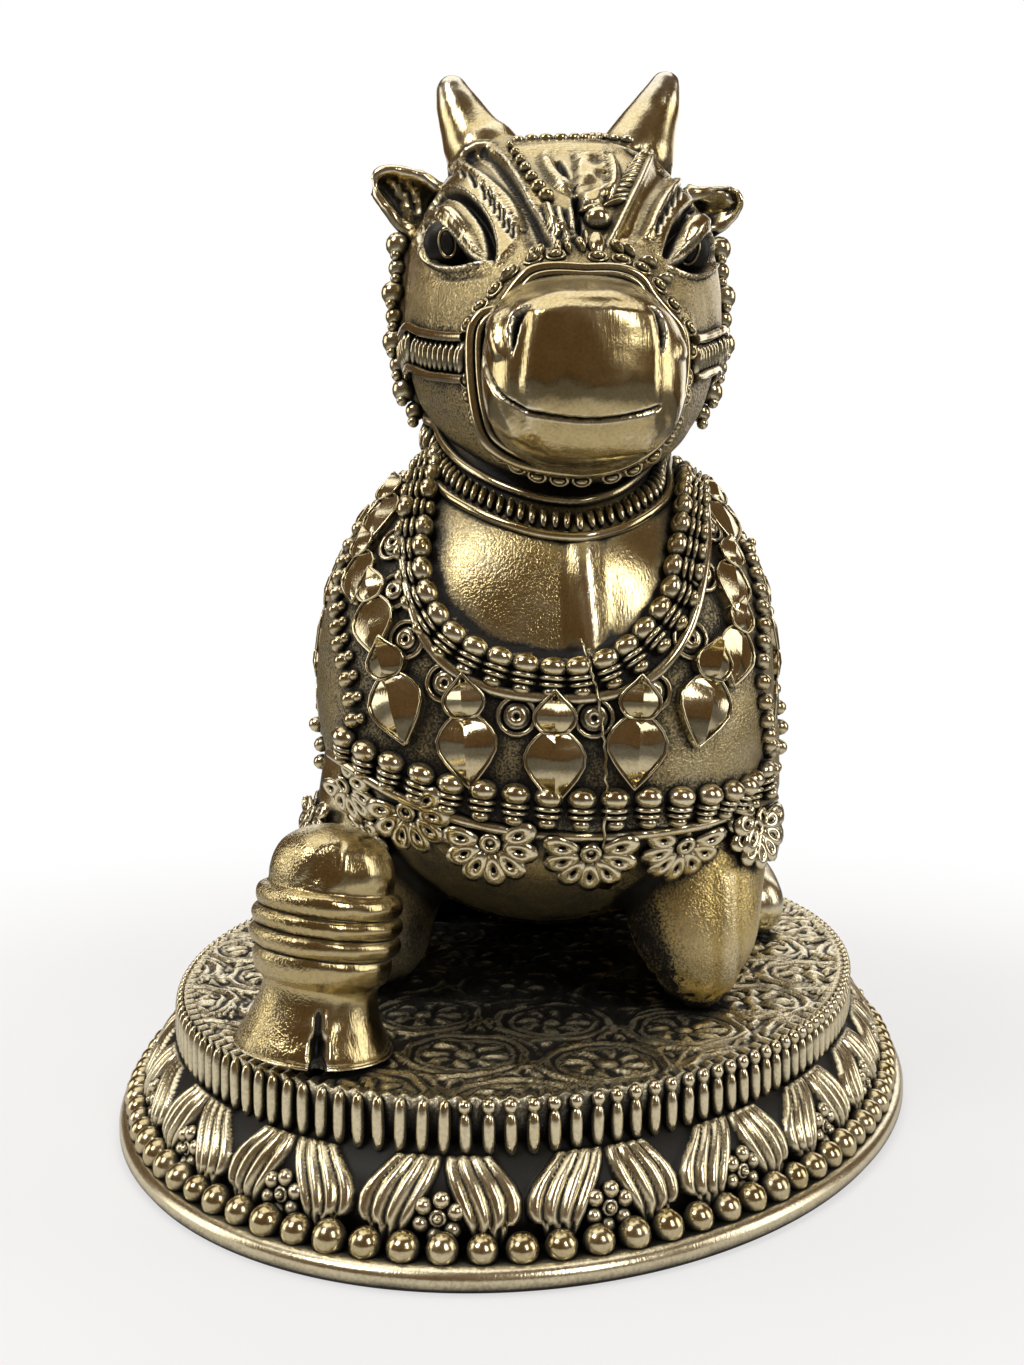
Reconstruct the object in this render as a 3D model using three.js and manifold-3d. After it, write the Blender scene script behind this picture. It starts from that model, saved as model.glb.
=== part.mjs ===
// A reclining Nandi bull, cast in metal with a brass finish, on an oval lotus base, with a small lingam
// standing before its right foreleg. Three castings: the base, the bull and the lingam.
// Millimetres, +Z up, the base's foot on Z = 0, the bull facing -Y, the bull's left side towards +X.
import * as THREE from "three";
import { mergeVertices } from "three/addons/utils/BufferGeometryUtils.js";
import Module from "manifold-3d";

// Base: an oval foot rim, a channel of beads, a slope of lotus petals, a ring of reeds, a flat plate.
const baseWidth = 86;
const baseLength = 120;
const rimHeight = 2;
const petalHeight = 7;
const reedHeight = 4.3;
const plateInset = 6.4;
const beadRadius = 1.35;
const beadCount = 100;
const beadInset = 1.9;
const petalCount = 22;
const petalInset = 3.7;
const petalProud = 1.1;
const petalPhase = 0.68;
const reedCount = 157;
const reedProud = 0.7;
const ovalSides = 48;
const petalTop = rimHeight + petalHeight;
const plateTop = petalTop + reedHeight;

// The bull and the lingam stand on the plate with this gap under them.
const seatGap = 0.3;

// Bull: drawn on a grid 96 units high from its seat to its horn tips.
const bullHeight = 96;
const gridHeight = 96;
const unit = bullHeight / gridHeight;
const bullTurn = THREE.MathUtils.degToRad(7);
const bullSide = 2.7;
const headSide = 1.2;
const headTurn = THREE.MathUtils.degToRad(6);

// Lingam: drawn on a grid 20.5 units high.
const lingamHeight = 20.5;
const lingamGrid = 20.5;
const lingamSide = -11.5;
const lingamInset = 8.6;
const lingamLean = THREE.MathUtils.degToRad(7);

const brass = { color: 0x9c8146, roughness: 0.34, metalness: 1 };
const up = new THREE.Vector3(0, 0, 1);

const wasm = await Module();
wasm.setup();

// Turns a closed three.js geometry into a solid whose faces point out.
function solid(geometry) {
  const bare = geometry.clone();
  for (const name of Object.keys(bare.attributes)) {
    if (name !== "position") bare.deleteAttribute(name);
  }
  const merged = mergeVertices(bare, 1e-4);
  const triVerts = new Uint32Array(merged.index.array);
  const vertProperties = merged.attributes.position.array;
  const made = new wasm.Manifold(new wasm.Mesh({ numProp: 3, vertProperties, triVerts }));
  if (made.volume() > 0) return made;
  for (let i = 0; i < triVerts.length; i += 3) {
    [triVerts[i + 1], triVerts[i + 2]] = [triVerts[i + 2], triVerts[i + 1]];
  }
  return new wasm.Manifold(new wasm.Mesh({ numProp: 3, vertProperties, triVerts }));
}

function geometryOf(manifold) {
  const { numProp, vertProperties, triVerts } = manifold.getMesh();
  const points = new Float32Array((vertProperties.length / numProp) * 3);
  for (let i = 0; i < points.length / 3; i++) {
    points.set(vertProperties.subarray(i * numProp, i * numProp + 3), i * 3);
  }
  const geometry = new THREE.BufferGeometry();
  geometry.setAttribute("position", new THREE.BufferAttribute(points, 3));
  geometry.setIndex(new THREE.BufferAttribute(triVerts, 1));
  geometry.computeVertexNormals();
  return geometry;
}

const join = (pieces) => wasm.Manifold.union(pieces);

// A turned matrix that stands a form on a surface: its Z along `out`, its Y as near `along` as can be.
function standing(at, out, along = up) {
  const z = out.clone().normalize();
  const x = new THREE.Vector3().crossVectors(along, z).normalize();
  const y = new THREE.Vector3().crossVectors(z, x);
  return new THREE.Matrix4().makeBasis(x, y, z).setPosition(at);
}

// Base forms

const ovalX = baseWidth / 2;
const ovalY = baseLength / 2;

// A point of the base's oval, drawn in by `inset`, and the way out from there.
function ovalPoint(angle, inset, z) {
  return new THREE.Vector3((ovalX - inset) * Math.cos(angle), (ovalY - inset) * Math.sin(angle), z);
}

function ovalOut(angle, inset) {
  const x = Math.cos(angle) / (ovalX - inset);
  const y = Math.sin(angle) / (ovalY - inset);
  return new THREE.Vector3(x, y, 0).normalize();
}

// Angles that part the oval at `inset` into equal lengths.
function ovalAngles(count, inset, phase = 0) {
  const steps = 1440;
  const reach = [0];
  let last = ovalPoint(0, inset, 0);
  for (let i = 1; i <= steps; i++) {
    const next = ovalPoint((i / steps) * 2 * Math.PI, inset, 0);
    reach.push(reach[i - 1] + next.distanceTo(last));
    last = next;
  }
  const angles = [];
  for (let k = 0; k < count; k++) {
    const goal = (((k + phase) / count) % 1) * reach[steps];
    const i = reach.findIndex((r) => r > goal);
    const share = (goal - reach[i - 1]) / (reach[i] - reach[i - 1]);
    angles.push(((i - 1 + share) / steps) * 2 * Math.PI);
  }
  return angles;
}

// A turned profile [inset, z] stretched lengthwise, so that every inset stays the same all round.
function ovalTurned(profile) {
  const points = profile.map(([inset, z]) => new THREE.Vector2(Math.max(ovalX - inset, 0), z));
  const geometry = new THREE.LatheGeometry(points, ovalSides);
  geometry.rotateX(Math.PI / 2);
  const place = geometry.attributes.position;
  for (let i = 0; i < place.count; i++) {
    const reach = Math.hypot(place.getX(i), place.getY(i));
    if (reach < 1e-6) continue;
    place.setY(i, place.getY(i) * (1 + (ovalY - ovalX) / reach));
  }
  return geometry;
}

function footPlate() {
  return solid(ovalTurned([[ovalX, 0], [0, 0], [0, rimHeight], [ovalX, rimHeight]]));
}

// The plate overhangs the slope and its edge is cut into reeds, a tooth for each.
function reededPlate() {
  const outline = ovalAngles(reedCount * 2, plateInset).map((angle, i) => {
    const proud = i % 2 ? 0 : reedProud;
    const at = ovalPoint(angle, plateInset, 0).addScaledVector(ovalOut(angle, plateInset), proud);
    return new THREE.Vector2(at.x, at.y);
  });
  const geometry = new THREE.ExtrudeGeometry(new THREE.Shape(outline), { depth: reedHeight, bevelEnabled: false });
  return solid(geometry.translate(0, 0, plateTop - reedHeight));
}

// A ring of lotus petals, each a pair of leaves that part downwards. Every pair takes six steps round the
// ring: a gap, the two ridges of a leaf, the parting, the two of the other leaf.
function lotusPetals() {
  const proud = [0, 1, 0.8, 0.1, 0.8, 1];
  const spread = [-0.5, -0.37, -0.16, 0, 0.16, 0.37];
  const rows = [
    { inset: petalInset + 1, z: rimHeight - 0.3, lift: petalProud * 0.5, fan: 1 },
    { inset: petalInset, z: rimHeight + petalHeight * 0.3, lift: petalProud, fan: 1 },
    { inset: petalInset + (plateInset - petalInset) * 0.6, z: rimHeight + petalHeight * 0.8, lift: petalProud * 0.8, fan: 0.8 },
    { inset: plateInset + 0.9, z: petalTop + 0.5, lift: 0, fan: 0.6 },
  ];
  const steps = proud.length;
  const geometry = new THREE.LatheGeometry(
    [new THREE.Vector2(0, 0), ...rows.map(() => new THREE.Vector2(1, 0)), new THREE.Vector2(0, 0)],
    petalCount * steps,
  );
  const place = geometry.attributes.position;
  const count = rows.length + 2;
  const centres = ovalAngles(petalCount, petalInset, petalPhase);
  for (let i = 0; i < place.count; i++) {
    const row = i % count;
    const step = Math.floor(i / count) % (petalCount * steps);
    const { inset, z, lift, fan } = rows[Math.min(Math.max(row - 1, 0), rows.length - 1)];
    if (row === 0 || row === count - 1) {
      place.setXYZ(i, 0, 0, z);
      continue;
    }
    const pair = Math.floor(step / steps);
    const centre = centres[pair];
    const turn = 2 * Math.PI;
    const next = (centres[(pair + 1) % petalCount] - centre + turn) % turn;
    const before = (centre - centres[(pair + petalCount - 1) % petalCount] + turn) % turn;
    const share = spread[step % steps] * (step % steps ? fan : 1);
    const angle = centre + share * (share < 0 ? before : next);
    const at = ovalPoint(angle, inset, z).addScaledVector(ovalOut(angle, inset), lift * proud[step % steps]);
    place.setXYZ(i, at.x, at.y, at.z);
  }
  return solid(geometry);
}

function baseBeads() {
  return ovalAngles(beadCount, beadInset).map((angle) => {
    const at = ovalPoint(angle, beadInset, rimHeight);
    const bead = new THREE.OctahedronGeometry(beadRadius * 1.12);
    return solid(bead.applyMatrix4(standing(at, ovalOut(angle, beadInset))));
  });
}

function lotusBase() {
  return join([footPlate(), lotusPetals(), reededPlate(), ...baseBeads()]);
}

// Bull forms. Stations are in grid units from the seat: x across, y back, z up.

const power = (value, square) => Math.sign(value) * Math.abs(value) ** (2 / square);

// A closed form through rings. Each station gives the ring's middle, its half width, its rise above the
// middle and its drop below it. The first and last stations are points. `rise` is Z for a form that
// runs lengthwise and -Y for one that stands up. `square` over 2 makes the rings squarer.
function loft(stations, sides, rise = up, square = 2) {
  const geometry = new THREE.SphereGeometry(1, sides, stations.length - 1);
  const place = geometry.attributes.position;
  for (let i = 0; i < place.count; i++) {
    const station = stations[Math.floor(i / (sides + 1))];
    const angle = ((i % (sides + 1)) / sides) * 2 * Math.PI;
    const [x, y, z, wide = 0, high = 0, low = high] = station;
    const across = wide * power(Math.cos(angle), square);
    const tall = (Math.sin(angle) > 0 ? high : low) * power(Math.sin(angle), square);
    place.setXYZ(i, x + across, y + rise.y * tall, z + rise.z * tall);
  }
  return geometry;
}

// A limb through balls: each station is a middle and a radius, and every ring stands across the limb.
function limb(stations, sides) {
  const middles = stations.map(([x, y, z]) => new THREE.Vector3(x, y, z));
  const count = stations.length;
  const geometry = new THREE.SphereGeometry(1, sides, count + 1);
  const place = geometry.attributes.position;
  for (let i = 0; i < place.count; i++) {
    const row = Math.floor(i / (sides + 1));
    const angle = ((i % (sides + 1)) / sides) * 2 * Math.PI;
    const k = Math.min(Math.max(row - 1, 0), count - 1);
    const before = middles[Math.max(k - 1, 0)];
    const after = middles[Math.min(k + 1, count - 1)];
    const way = after.clone().sub(before).normalize();
    const frame = standing(middles[k], way, Math.abs(way.z) > 0.9 ? new THREE.Vector3(0, 1, 0) : up);
    const radius = stations[k][3];
    const tip = row === 0 ? -0.8 : row === count + 1 ? 0.8 : 0;
    const share = tip ? 0 : 1;
    const at = new THREE.Vector3(Math.cos(angle) * share, Math.sin(angle) * share, tip);
    at.multiplyScalar(radius).applyMatrix4(frame);
    place.setXYZ(i, at.x, at.y, at.z);
  }
  return geometry;
}

const ball = (x, y, z, rx, ry, rz, sides = 12) =>
  new THREE.SphereGeometry(1, sides, sides / 2).rotateX(Math.PI / 2).scale(rx, ry, rz).translate(x, y, z);

const torso = [
  [0, -37.5, 26],
  [0, -36.8, 26, 8.5, 10, 8],
  [0, -35, 27, 14.5, 17, 13],
  [0, -31, 29, 19, 21, 18],
  [0, -24, 31.5, 22.2, 24, 24],
  [0, -13, 32.5, 23.6, 25.5, 28],
  [0, 2, 31.5, 24.4, 25, 30],
  [0, 18, 29.5, 24.8, 23.5, 29.5],
  [0, 32, 26, 23, 20.5, 26],
  [0, 41, 23, 17.5, 16, 23],
  [0, 46, 21],
];

const neck = [
  [0, -17, 14],
  [0, -18, 20, 13, 14],
  [0, -18, 32, 15.5, 17.6, 15],
  [0, -17.5, 40, 16.2, 17, 16],
  [0, -17, 47, 14.6, 15, 16],
  [0.3, -16, 54, 12.2, 13.4, 17],
  [0.6, -15, 62, 11.4, 12, 13],
  [0, -14, 72],
];

const skull = [
  [0, -2, 70],
  [0, -4.5, 70, 9, 10, 9],
  [0, -9, 70, 14.6, 16.4, 14],
  [0, -14, 69.6, 16.9, 18.6, 17],
  [0, -20, 69, 17, 17.4, 17.2],
  [0, -26, 66.8, 15.4, 14.8, 15.6],
  [0, -31, 63.6, 12.4, 11.6, 13],
  [0, -34.5, 61, 9.6, 9.4, 11.2],
  [0, -40, 58.6, 9.2, 8.6, 9.2],
  [0, -45, 58, 9, 7.4, 7.6],
  [0, -48.3, 57.6, 7, 5.2, 5],
  [0, -49, 57.6],
];

// Cloth and harness, in grid units. Lines on the body are pairs of a turn from the front and a height.
const clothThick = 0.9;
const axisBack = -12;
const mantleBack = -10;
const saddleFront = -7;
const saddleBack = 29;
const hemLine = [[-21, 25], [-13, 21.7], [-4.4, 19.2], [4.8, 18.6], [14.2, 19], [22, 20]];
const throatLine = [[13.4, 52], [12.4, 42], [8.8, 36], [2.6, 34.2], [-4.6, 35.4], [-9, 39], [-11, 45], [-11, 55]];
const throatBeads = [[-48, 53], [-37, 48], [-31, 43.6], [-24, 38.5], [-15, 34.8], [3, 32.6], [21, 35], [32, 40], [40, 45.5], [54, 51]];
const hemBeads = [[-56, 28], [-44, 26], [-27, 23.4], [-8, 21.4], [15, 20.9], [44, 20.8], [60, 21.2]];
const clothBead = 1.35;
const beadStep = 4;
const pendants = [
  [-75, 47], [-50, 41.5], [-39.5, 36], [-31, 30], [-14.5, 26.6], [3, 25], [20, 26.6], [37, 29.6], [43.5, 35], [52, 41.5], [76, 47],
];
const rosettes = [[-60, 22.5], [-44, 20.5], [-24, 18.6], [-10.4, 16.8], [11.4, 15.8], [37.4, 16], [62, 17.2]];
const rosetteRadius = 3.7;
const strapThick = 0.8;
const bandWidth = 2.6;
const bandPlace = -34;

function legs() {
  const left = [
    [15.6, -12, 26, 8.4],
    [15, -20, 18, 8],
    [15, -24.6, 10.6, 7],
    [15.2, -26.4, 5.6, 6],
    [15.4, -27.6, 2, 3.6],
  ];
  const leftShin = [[15.4, -25, 4, 4.4], [17, -12, 4, 4], [18, -3, 3.6, 4]];
  const right = [
    [-16, -10, 24, 8.5],
    [-17, -19, 13, 7.4],
    [-17, -23, 6, 5.6],
  ];
  const rightShin = [[-17, -21, 4.4, 4.6], [-19, -10, 4, 4.2], [-20, -2, 3.6, 4]];
  const pieces = [limb(left, 8), limb(right, 8), limb(leftShin, 6), limb(rightShin, 6)];
  for (const hand of [-1, 1]) {
    pieces.push(ball(hand * 17.6, 22, 13, 10.8, 18, 17.5, 10));
    pieces.push(limb([[hand * 20, 32, 5, 5], [hand * 23.5, 14, 4.4, 4.4], [hand * 24, 3, 3.8, 4]], 6));
  }
  return pieces;
}

// The same stations, each ring grown by `by`.
function grown(stations, by) {
  return stations.map((station, i) => {
    const [x, y, z, ...sizes] = station;
    if (sizes.length) return [x, y, z, ...sizes.map((size) => size + by)];
    const inner = stations[i ? i - 1 : 1];
    return [x, y + Math.sign(y - inner[1]) * by * 0.6, z];
  });
}

const hump = (by) => ball(0, 4, 55, 10.5 + by, 13 + by, 11 + by, 10);
const crest = (by) => limb([[0.5, -7, 71, 8 + by], [0.2, -3, 61, 9.6 + by]], 8);
const trunk = (by) => [
  loft(grown(torso, by), 16),
  loft(grown(neck, by), 10, new THREE.Vector3(0, -1, 0)),
  hump(by),
  crest(by),
];

function bullSkin() {
  return join([...trunk(0), ...legs()].map(solid));
}

// A prism through the body: an outline in x and z runs from y = `from` to y = `to`.
function frontPrism(outline, from, to) {
  const shape = new THREE.Shape(outline.map(([x, z]) => new THREE.Vector2(x, z)));
  const prism = new THREE.ExtrudeGeometry(shape, { depth: to - from, bevelEnabled: false });
  return solid(prism.rotateX(Math.PI / 2).translate(0, to, 0));
}

// Cloth over the chest and shoulders, cut low at the throat, and cloth over the back.
function mantle() {
  const front = frontPrism([...hemLine, [34, 24], [34, 70], [13.4, 70], ...throatLine, [-11, 70], [-34, 70], [-34, 25]], -60, mantleBack);
  return join(trunk(clothThick).map(solid)).intersect(front);
}

function saddle() {
  const side = new THREE.Shape();
  side.moveTo(saddleFront, 24).lineTo(saddleFront, 70).lineTo(saddleBack, 70).lineTo(saddleBack, 24);
  const prism = new THREE.ExtrudeGeometry(side, { depth: 80, bevelEnabled: false });
  prism.rotateX(Math.PI / 2).rotateZ(Math.PI / 2).translate(-40, 0, 0);
  return join(trunk(clothThick).map(solid)).intersect(solid(prism));
}

// Where a line towards the upright axis at y = `axisBack` meets the cloth, and the way out there.
function onCloth(skin, turn, z) {
  const angle = THREE.MathUtils.degToRad(turn);
  const away = new THREE.Vector3(Math.sin(angle), -Math.cos(angle), 0);
  const from = new THREE.Vector3(0, axisBack, z).addScaledVector(away, 90);
  const [hit] = new THREE.Raycaster(from, away.clone().negate()).intersectObject(skin);
  return { at: hit.point, out: hit.face.normal.clone() };
}

// Points at equal steps along a line of [turn, z] pairs on the cloth.
function alongCloth(skin, line, step) {
  const dense = [];
  for (let i = 1; i < line.length; i++) {
    for (let k = 0; k < 12; k++) {
      const share = k / 12;
      const [t0, z0] = line[i - 1];
      const [t1, z1] = line[i];
      dense.push(onCloth(skin, t0 + (t1 - t0) * share, z0 + (z1 - z0) * share));
    }
  }
  const picked = [dense[0]];
  let run = 0;
  for (let i = 1; i < dense.length; i++) {
    run += dense[i].at.distanceTo(dense[i - 1].at);
    if (run >= step) {
      picked.push(dense[i]);
      run -= step;
    }
  }
  return picked;
}

function ornament(skin) {
  const pieces = [];
  for (const { at, out } of [...alongCloth(skin, throatBeads, beadStep), ...alongCloth(skin, hemBeads, beadStep)]) {
    pieces.push(solid(new THREE.OctahedronGeometry(clothBead).applyMatrix4(standing(at, out))));
  }
  for (const [turn, z] of pendants) {
    const { at, out } = onCloth(skin, turn, z);
    const drop = loft([[0, -4.6, 0], [0, -1.2, 0, 2.5, 1.6], [0, 2, 0, 0.9, 0.8], [0, 3.6, 0, 1.7, 1.3], [0, 5.6, 0]], 4);
    pieces.push(solid(drop.applyMatrix4(standing(at, out))));
  }
  for (const [turn, z] of rosettes) {
    const { at, out } = onCloth(skin, turn, z);
    const flower = new THREE.CylinderGeometry(rosetteRadius - 0.8, rosetteRadius, 2.2, 8).rotateX(Math.PI / 2);
    pieces.push(solid(flower.applyMatrix4(standing(at, out))));
  }
  return pieces;
}

// Horns, ears, eyes under heavy brows, a band round the muzzle, a shield on the forehead and a row of balls
// down behind each cheek.
function bullHead() {
  const bare = solid(loft(skull, 14, up, 2.3));
  const thick = solid(loft(grown(skull, strapThick), 14, up, 2.3));
  const band = solid(new THREE.BoxGeometry(60, bandWidth, 60).translate(0, bandPlace, 62));
  const shield = frontPrism([[-7.5, 92], [0.5, 72.5], [8.5, 92]], -60, -12);
  const pieces = [bare, thick.intersect(join([band, shield]))];
  for (const hand of [-1, 1]) {
    const horn = [[7, -13, 82, 5.2], [8.4, -12.5, 88, 3.7], [9.7, -12, 92, 2.2], [10.9, -12, 95, 1]];
    pieces.push(solid(limb(horn.map(([x, ...rest]) => [hand * x, ...rest]), 8)));
    pieces.push(solid(ear(hand)));
    const brow = [[9, -28.5, 76.5, 1.6], [11.6, -25.5, 79.6, 2.4], [14.2, -21, 78.4, 1.8]];
    pieces.push(solid(limb(brow.map(([x, ...rest]) => [hand * x, ...rest]), 6)));
    pieces.push(solid(new THREE.OctahedronGeometry(1).scale(3, 3, 2.6).translate(hand * 12, -24.8, 74.6)));
    for (let k = 0; k < 4; k++) {
      const drop = new THREE.OctahedronGeometry(1.7).translate(hand * (16.3 - k * 0.2), -12.5, 74.4 - k * 4.2);
      pieces.push(solid(drop));
    }
  }
  const whole = join(pieces);
  return whole.translate(0, 12, 0).rotate(0, 0, THREE.MathUtils.radToDeg(headTurn)).translate(headSide, -12, 0);
}

// An ear is a leaf that stands out from the head, its tip a little up.
function ear(hand) {
  const leaf = loft([[0, 0, 0], [0, 2, 0, 3, 1.6], [0, 7, 0.3, 3.7, 1.7], [0, 11.6, 1.6]], 8);
  return leaf.rotateY(hand * 1.35).rotateZ(hand * -1.5).translate(hand * 8.6, -12.5, 82.4);
}

function tail() {
  return limb([[0, 43, 30, 2], [-4, 45, 22, 1.8], [-9, 44.6, 14, 1.6], [-13, 42, 8, 2.4], [-14, 40, 3, 1.6]], 6);
}

function bull() {
  const cloth = join([bullSkin(), mantle(), saddle()]);
  const skin = new THREE.Mesh(geometryOf(cloth));
  const whole = join([cloth, bullHead(), solid(tail()), ...ornament(skin)]);
  const under = solid(new THREE.BoxGeometry(200, 200, 60).translate(0, 0, -30));
  return whole.subtract(under);
}

// Lingam

const lingamFoot = 6.5;

function lingam() {
  const profile = [
    [0, 0], [lingamFoot, 0], [6.4, 0.9], [5.2, 3.8], [5, 6], [5.9, 7.4], [5.9, 9.6],
    [6.8, 10.4], [6.8, 11.2], [6.1, 11.6], [6.8, 12.3], [6.8, 13.1], [6.1, 13.5],
    [6.6, 14.2], [6.6, 15], [5.6, 15.4], [5.3, 17.2], [4.4, 19], [2.5, 20.1], [0, 20.5],
  ];
  const points = profile.map(([r, z]) => new THREE.Vector2(r, z));
  return new THREE.LatheGeometry(points, 14).rotateX(Math.PI / 2);
}

function mesh(name, geometry) {
  const made = new THREE.Mesh(geometry, new THREE.MeshStandardMaterial(brass));
  made.name = name;
  return made;
}

const figure = new THREE.Group();
figure.add(mesh("lotus_base", geometryOf(lotusBase())));

const bullMesh = mesh("bull", geometryOf(bull()).scale(unit, unit, unit));
bullMesh.rotation.z = bullTurn;
bullMesh.position.set(bullSide * Math.cos(bullTurn), bullSide * Math.sin(bullTurn), plateTop + seatGap);
figure.add(bullMesh);

const lingamScale = lingamHeight / lingamGrid;
const lingamMesh = mesh("lingam", geometryOf(solid(lingam())).scale(lingamScale, lingamScale, lingamScale));
lingamMesh.rotation.y = lingamLean;
lingamMesh.position.set(
  lingamSide,
  lingamInset + plateInset - ovalY,
  plateTop + seatGap + lingamFoot * lingamScale * Math.sin(lingamLean),
);
figure.add(lingamMesh);

export default figure;
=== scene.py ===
"""A reclining Nandi bull in antique gold metal on an oval lotus base, dressed round the packed CAD frame."""
import math

import bmesh
import bpy
import numpy as np
from bpy.props import FloatProperty, FloatVectorProperty, IntProperty, PointerProperty
from mathutils import Matrix, Vector, noise
from mathutils.bvhtree import BVHTree


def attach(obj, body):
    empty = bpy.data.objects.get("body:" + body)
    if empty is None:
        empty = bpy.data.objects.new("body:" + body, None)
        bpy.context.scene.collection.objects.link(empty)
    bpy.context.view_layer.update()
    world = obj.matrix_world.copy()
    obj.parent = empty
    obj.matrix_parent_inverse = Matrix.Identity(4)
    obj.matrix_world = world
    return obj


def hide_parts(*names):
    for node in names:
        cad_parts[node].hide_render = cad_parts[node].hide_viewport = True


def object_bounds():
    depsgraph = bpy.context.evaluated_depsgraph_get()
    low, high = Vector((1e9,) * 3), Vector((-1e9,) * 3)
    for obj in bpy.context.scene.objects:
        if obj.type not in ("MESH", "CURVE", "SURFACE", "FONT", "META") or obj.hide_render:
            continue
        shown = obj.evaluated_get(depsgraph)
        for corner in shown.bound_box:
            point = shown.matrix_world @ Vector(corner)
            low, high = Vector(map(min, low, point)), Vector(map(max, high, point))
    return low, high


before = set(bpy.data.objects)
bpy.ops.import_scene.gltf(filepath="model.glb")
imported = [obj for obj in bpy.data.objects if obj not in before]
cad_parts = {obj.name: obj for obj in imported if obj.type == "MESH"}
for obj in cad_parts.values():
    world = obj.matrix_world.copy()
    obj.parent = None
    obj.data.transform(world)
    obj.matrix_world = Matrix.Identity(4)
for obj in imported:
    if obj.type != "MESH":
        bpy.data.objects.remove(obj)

bl_info = {
    "name": "Nandi bull figure",
    "version": (1, 0, 0),
    "blender": (4, 5, 0),
    "location": "3D View > Sidebar > Nandi",
    "description": "Builds a cast metal Nandi bull with beaded cloth on a lotus base",
    "category": "Object",
}

cad_low, cad_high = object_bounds()
MM = 0.001


class NANDI_PG_base(bpy.types.PropertyGroup):
    """Sizes of the lotus base"""
    width: FloatProperty(name="Width", description="Across the foot rim", default=cad_high.x - cad_low.x,
        unit="LENGTH")
    length: FloatProperty(name="Length", description="Along the foot rim", default=cad_high.y - cad_low.y,
        unit="LENGTH")
    beads: IntProperty(name="Beads", description="Balls in the channel round the foot", default=100, min=12)
    reeds: IntProperty(name="Reeds", description="Upright reeds round the plate", default=157, min=12)
    petals: IntProperty(name="Petal pairs", description="Pairs of lotus leaves round the slope", default=22, min=6)
    relief: FloatProperty(name="Plate relief", description="Depth of the filigree on the plate", default=0.0005,
        unit="LENGTH", precision=5)


class NANDI_PG_bull(bpy.types.PropertyGroup):
    """Sizes of the bull's casting"""
    cloth: FloatProperty(name="Cloth", description="How far the cloth stands off the hide", default=0.0009,
        unit="LENGTH", precision=5)
    cord: FloatProperty(name="Cord", description="Radius of the cords that edge the cloth", default=0.00055,
        unit="LENGTH", precision=5)
    bead: FloatProperty(name="Bead", description="Radius of the cloth's large beads", default=0.00112,
        unit="LENGTH", precision=5)
    body_cell: FloatProperty(name="Body cell", description="Cell of the body's skin", default=0.00053,
        unit="LENGTH", precision=5)
    head_cell: FloatProperty(name="Head cell", description="Cell of the head's skin", default=0.000433,
        unit="LENGTH", precision=5)


class NANDI_PG_finish(bpy.types.PropertyGroup):
    """Colours of the antique gold finish"""
    gold: FloatVectorProperty(name="Gold", description="Colour of the gilt metal", default=(0.60, 0.49, 0.25),
        subtype="COLOR", min=0, max=1)
    worn: FloatVectorProperty(name="Worn gold", description="Colour where the relief is rubbed bright",
        default=(0.90, 0.82, 0.58), subtype="COLOR", min=0, max=1)
    # The patina colour is also the colour of the painted shade under the bull and in shut-in places.
    patina_and_shade: FloatVectorProperty(name="Patina and shade", description="Colour of the dark wash in the recesses",
        default=(0.010, 0.009, 0.007), subtype="COLOR", min=0, max=1)
    gilt: FloatVectorProperty(name="Gilt", description="Colour of the pitted gilding on the front hoof",
        default=(0.78, 0.56, 0.14), subtype="COLOR", min=0, max=1)
    silver: FloatVectorProperty(name="Bare metal", description="Colour of the horn tips, rubbed through",
        default=(0.55, 0.56, 0.56), subtype="COLOR", min=0, max=1)


class NANDI_PG_stage(bpy.types.PropertyGroup):
    """Floor and light"""
    light: FloatProperty(name="Light", description="Share of the lights' full power", default=1.0, min=0)
    bounce: FloatProperty(name="Bounce", description="How bright the far floor is in the metal's reflections",
        default=0.15, min=0, max=1)
    floor: FloatVectorProperty(name="Floor", description="Colour of the pale floor", default=(0.86, 0.86, 0.87),
        subtype="COLOR", min=0, max=1)


# Small tools. Everything below is drawn in millimetres and becomes metres in finished().

UP = Vector((0, 0, 1))


def spline(stations, per=4):
    """More stations between the given ones, on a smooth curve through them."""
    rows = [np.array(s, dtype=float) for s in stations]
    out = []
    for i in range(len(rows) - 1):
        a, b, c, d = rows[max(i - 1, 0)], rows[i], rows[i + 1], rows[min(i + 2, len(rows) - 1)]
        square, cube = 2 * a - 5 * b + 4 * c - d, 3 * b - a - 3 * c + d
        for k in range(per):
            t = k / per
            out.append(0.5 * (2 * b + (c - a) * t + square * t * t + cube * t ** 3))
    out.append(rows[-1])
    return out


def standing(at, out, along=UP):
    """A turned matrix: its Z along out, its Y as near along as can be."""
    z = Vector(out).normalized()
    x = Vector(along).cross(z)
    if x.length < 1e-4:
        x = Vector((1, 0, 0)).cross(z)
    x.normalize()
    return Matrix.Translation(at) @ Matrix((x, z.cross(x), z)).transposed().to_4x4()


def bridged(bm, rings, closed=False):
    """Joins rings of vertices one after the other and fills both ends."""
    loops = [[e for e in {e for v in ring for e in v.link_edges}] for ring in rings]
    pairs = list(zip(loops, loops[1:])) + ([(loops[-1], loops[0])] if closed else [])
    for first, second in pairs:
        bmesh.ops.bridge_loops(bm, edges=first + second)
    if not closed:
        for loop in (loops[0], loops[-1]):
            bmesh.ops.edgeloop_fill(bm, edges=loop)


def baked(bm, name, recalc=True):
    """A mesh made of bm, which is freed, with its normals turned outwards."""
    if recalc:
        bmesh.ops.recalc_face_normals(bm, faces=bm.faces)
    mesh = bpy.data.meshes.new(name)
    bm.to_mesh(mesh)
    bm.free()
    return mesh


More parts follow.
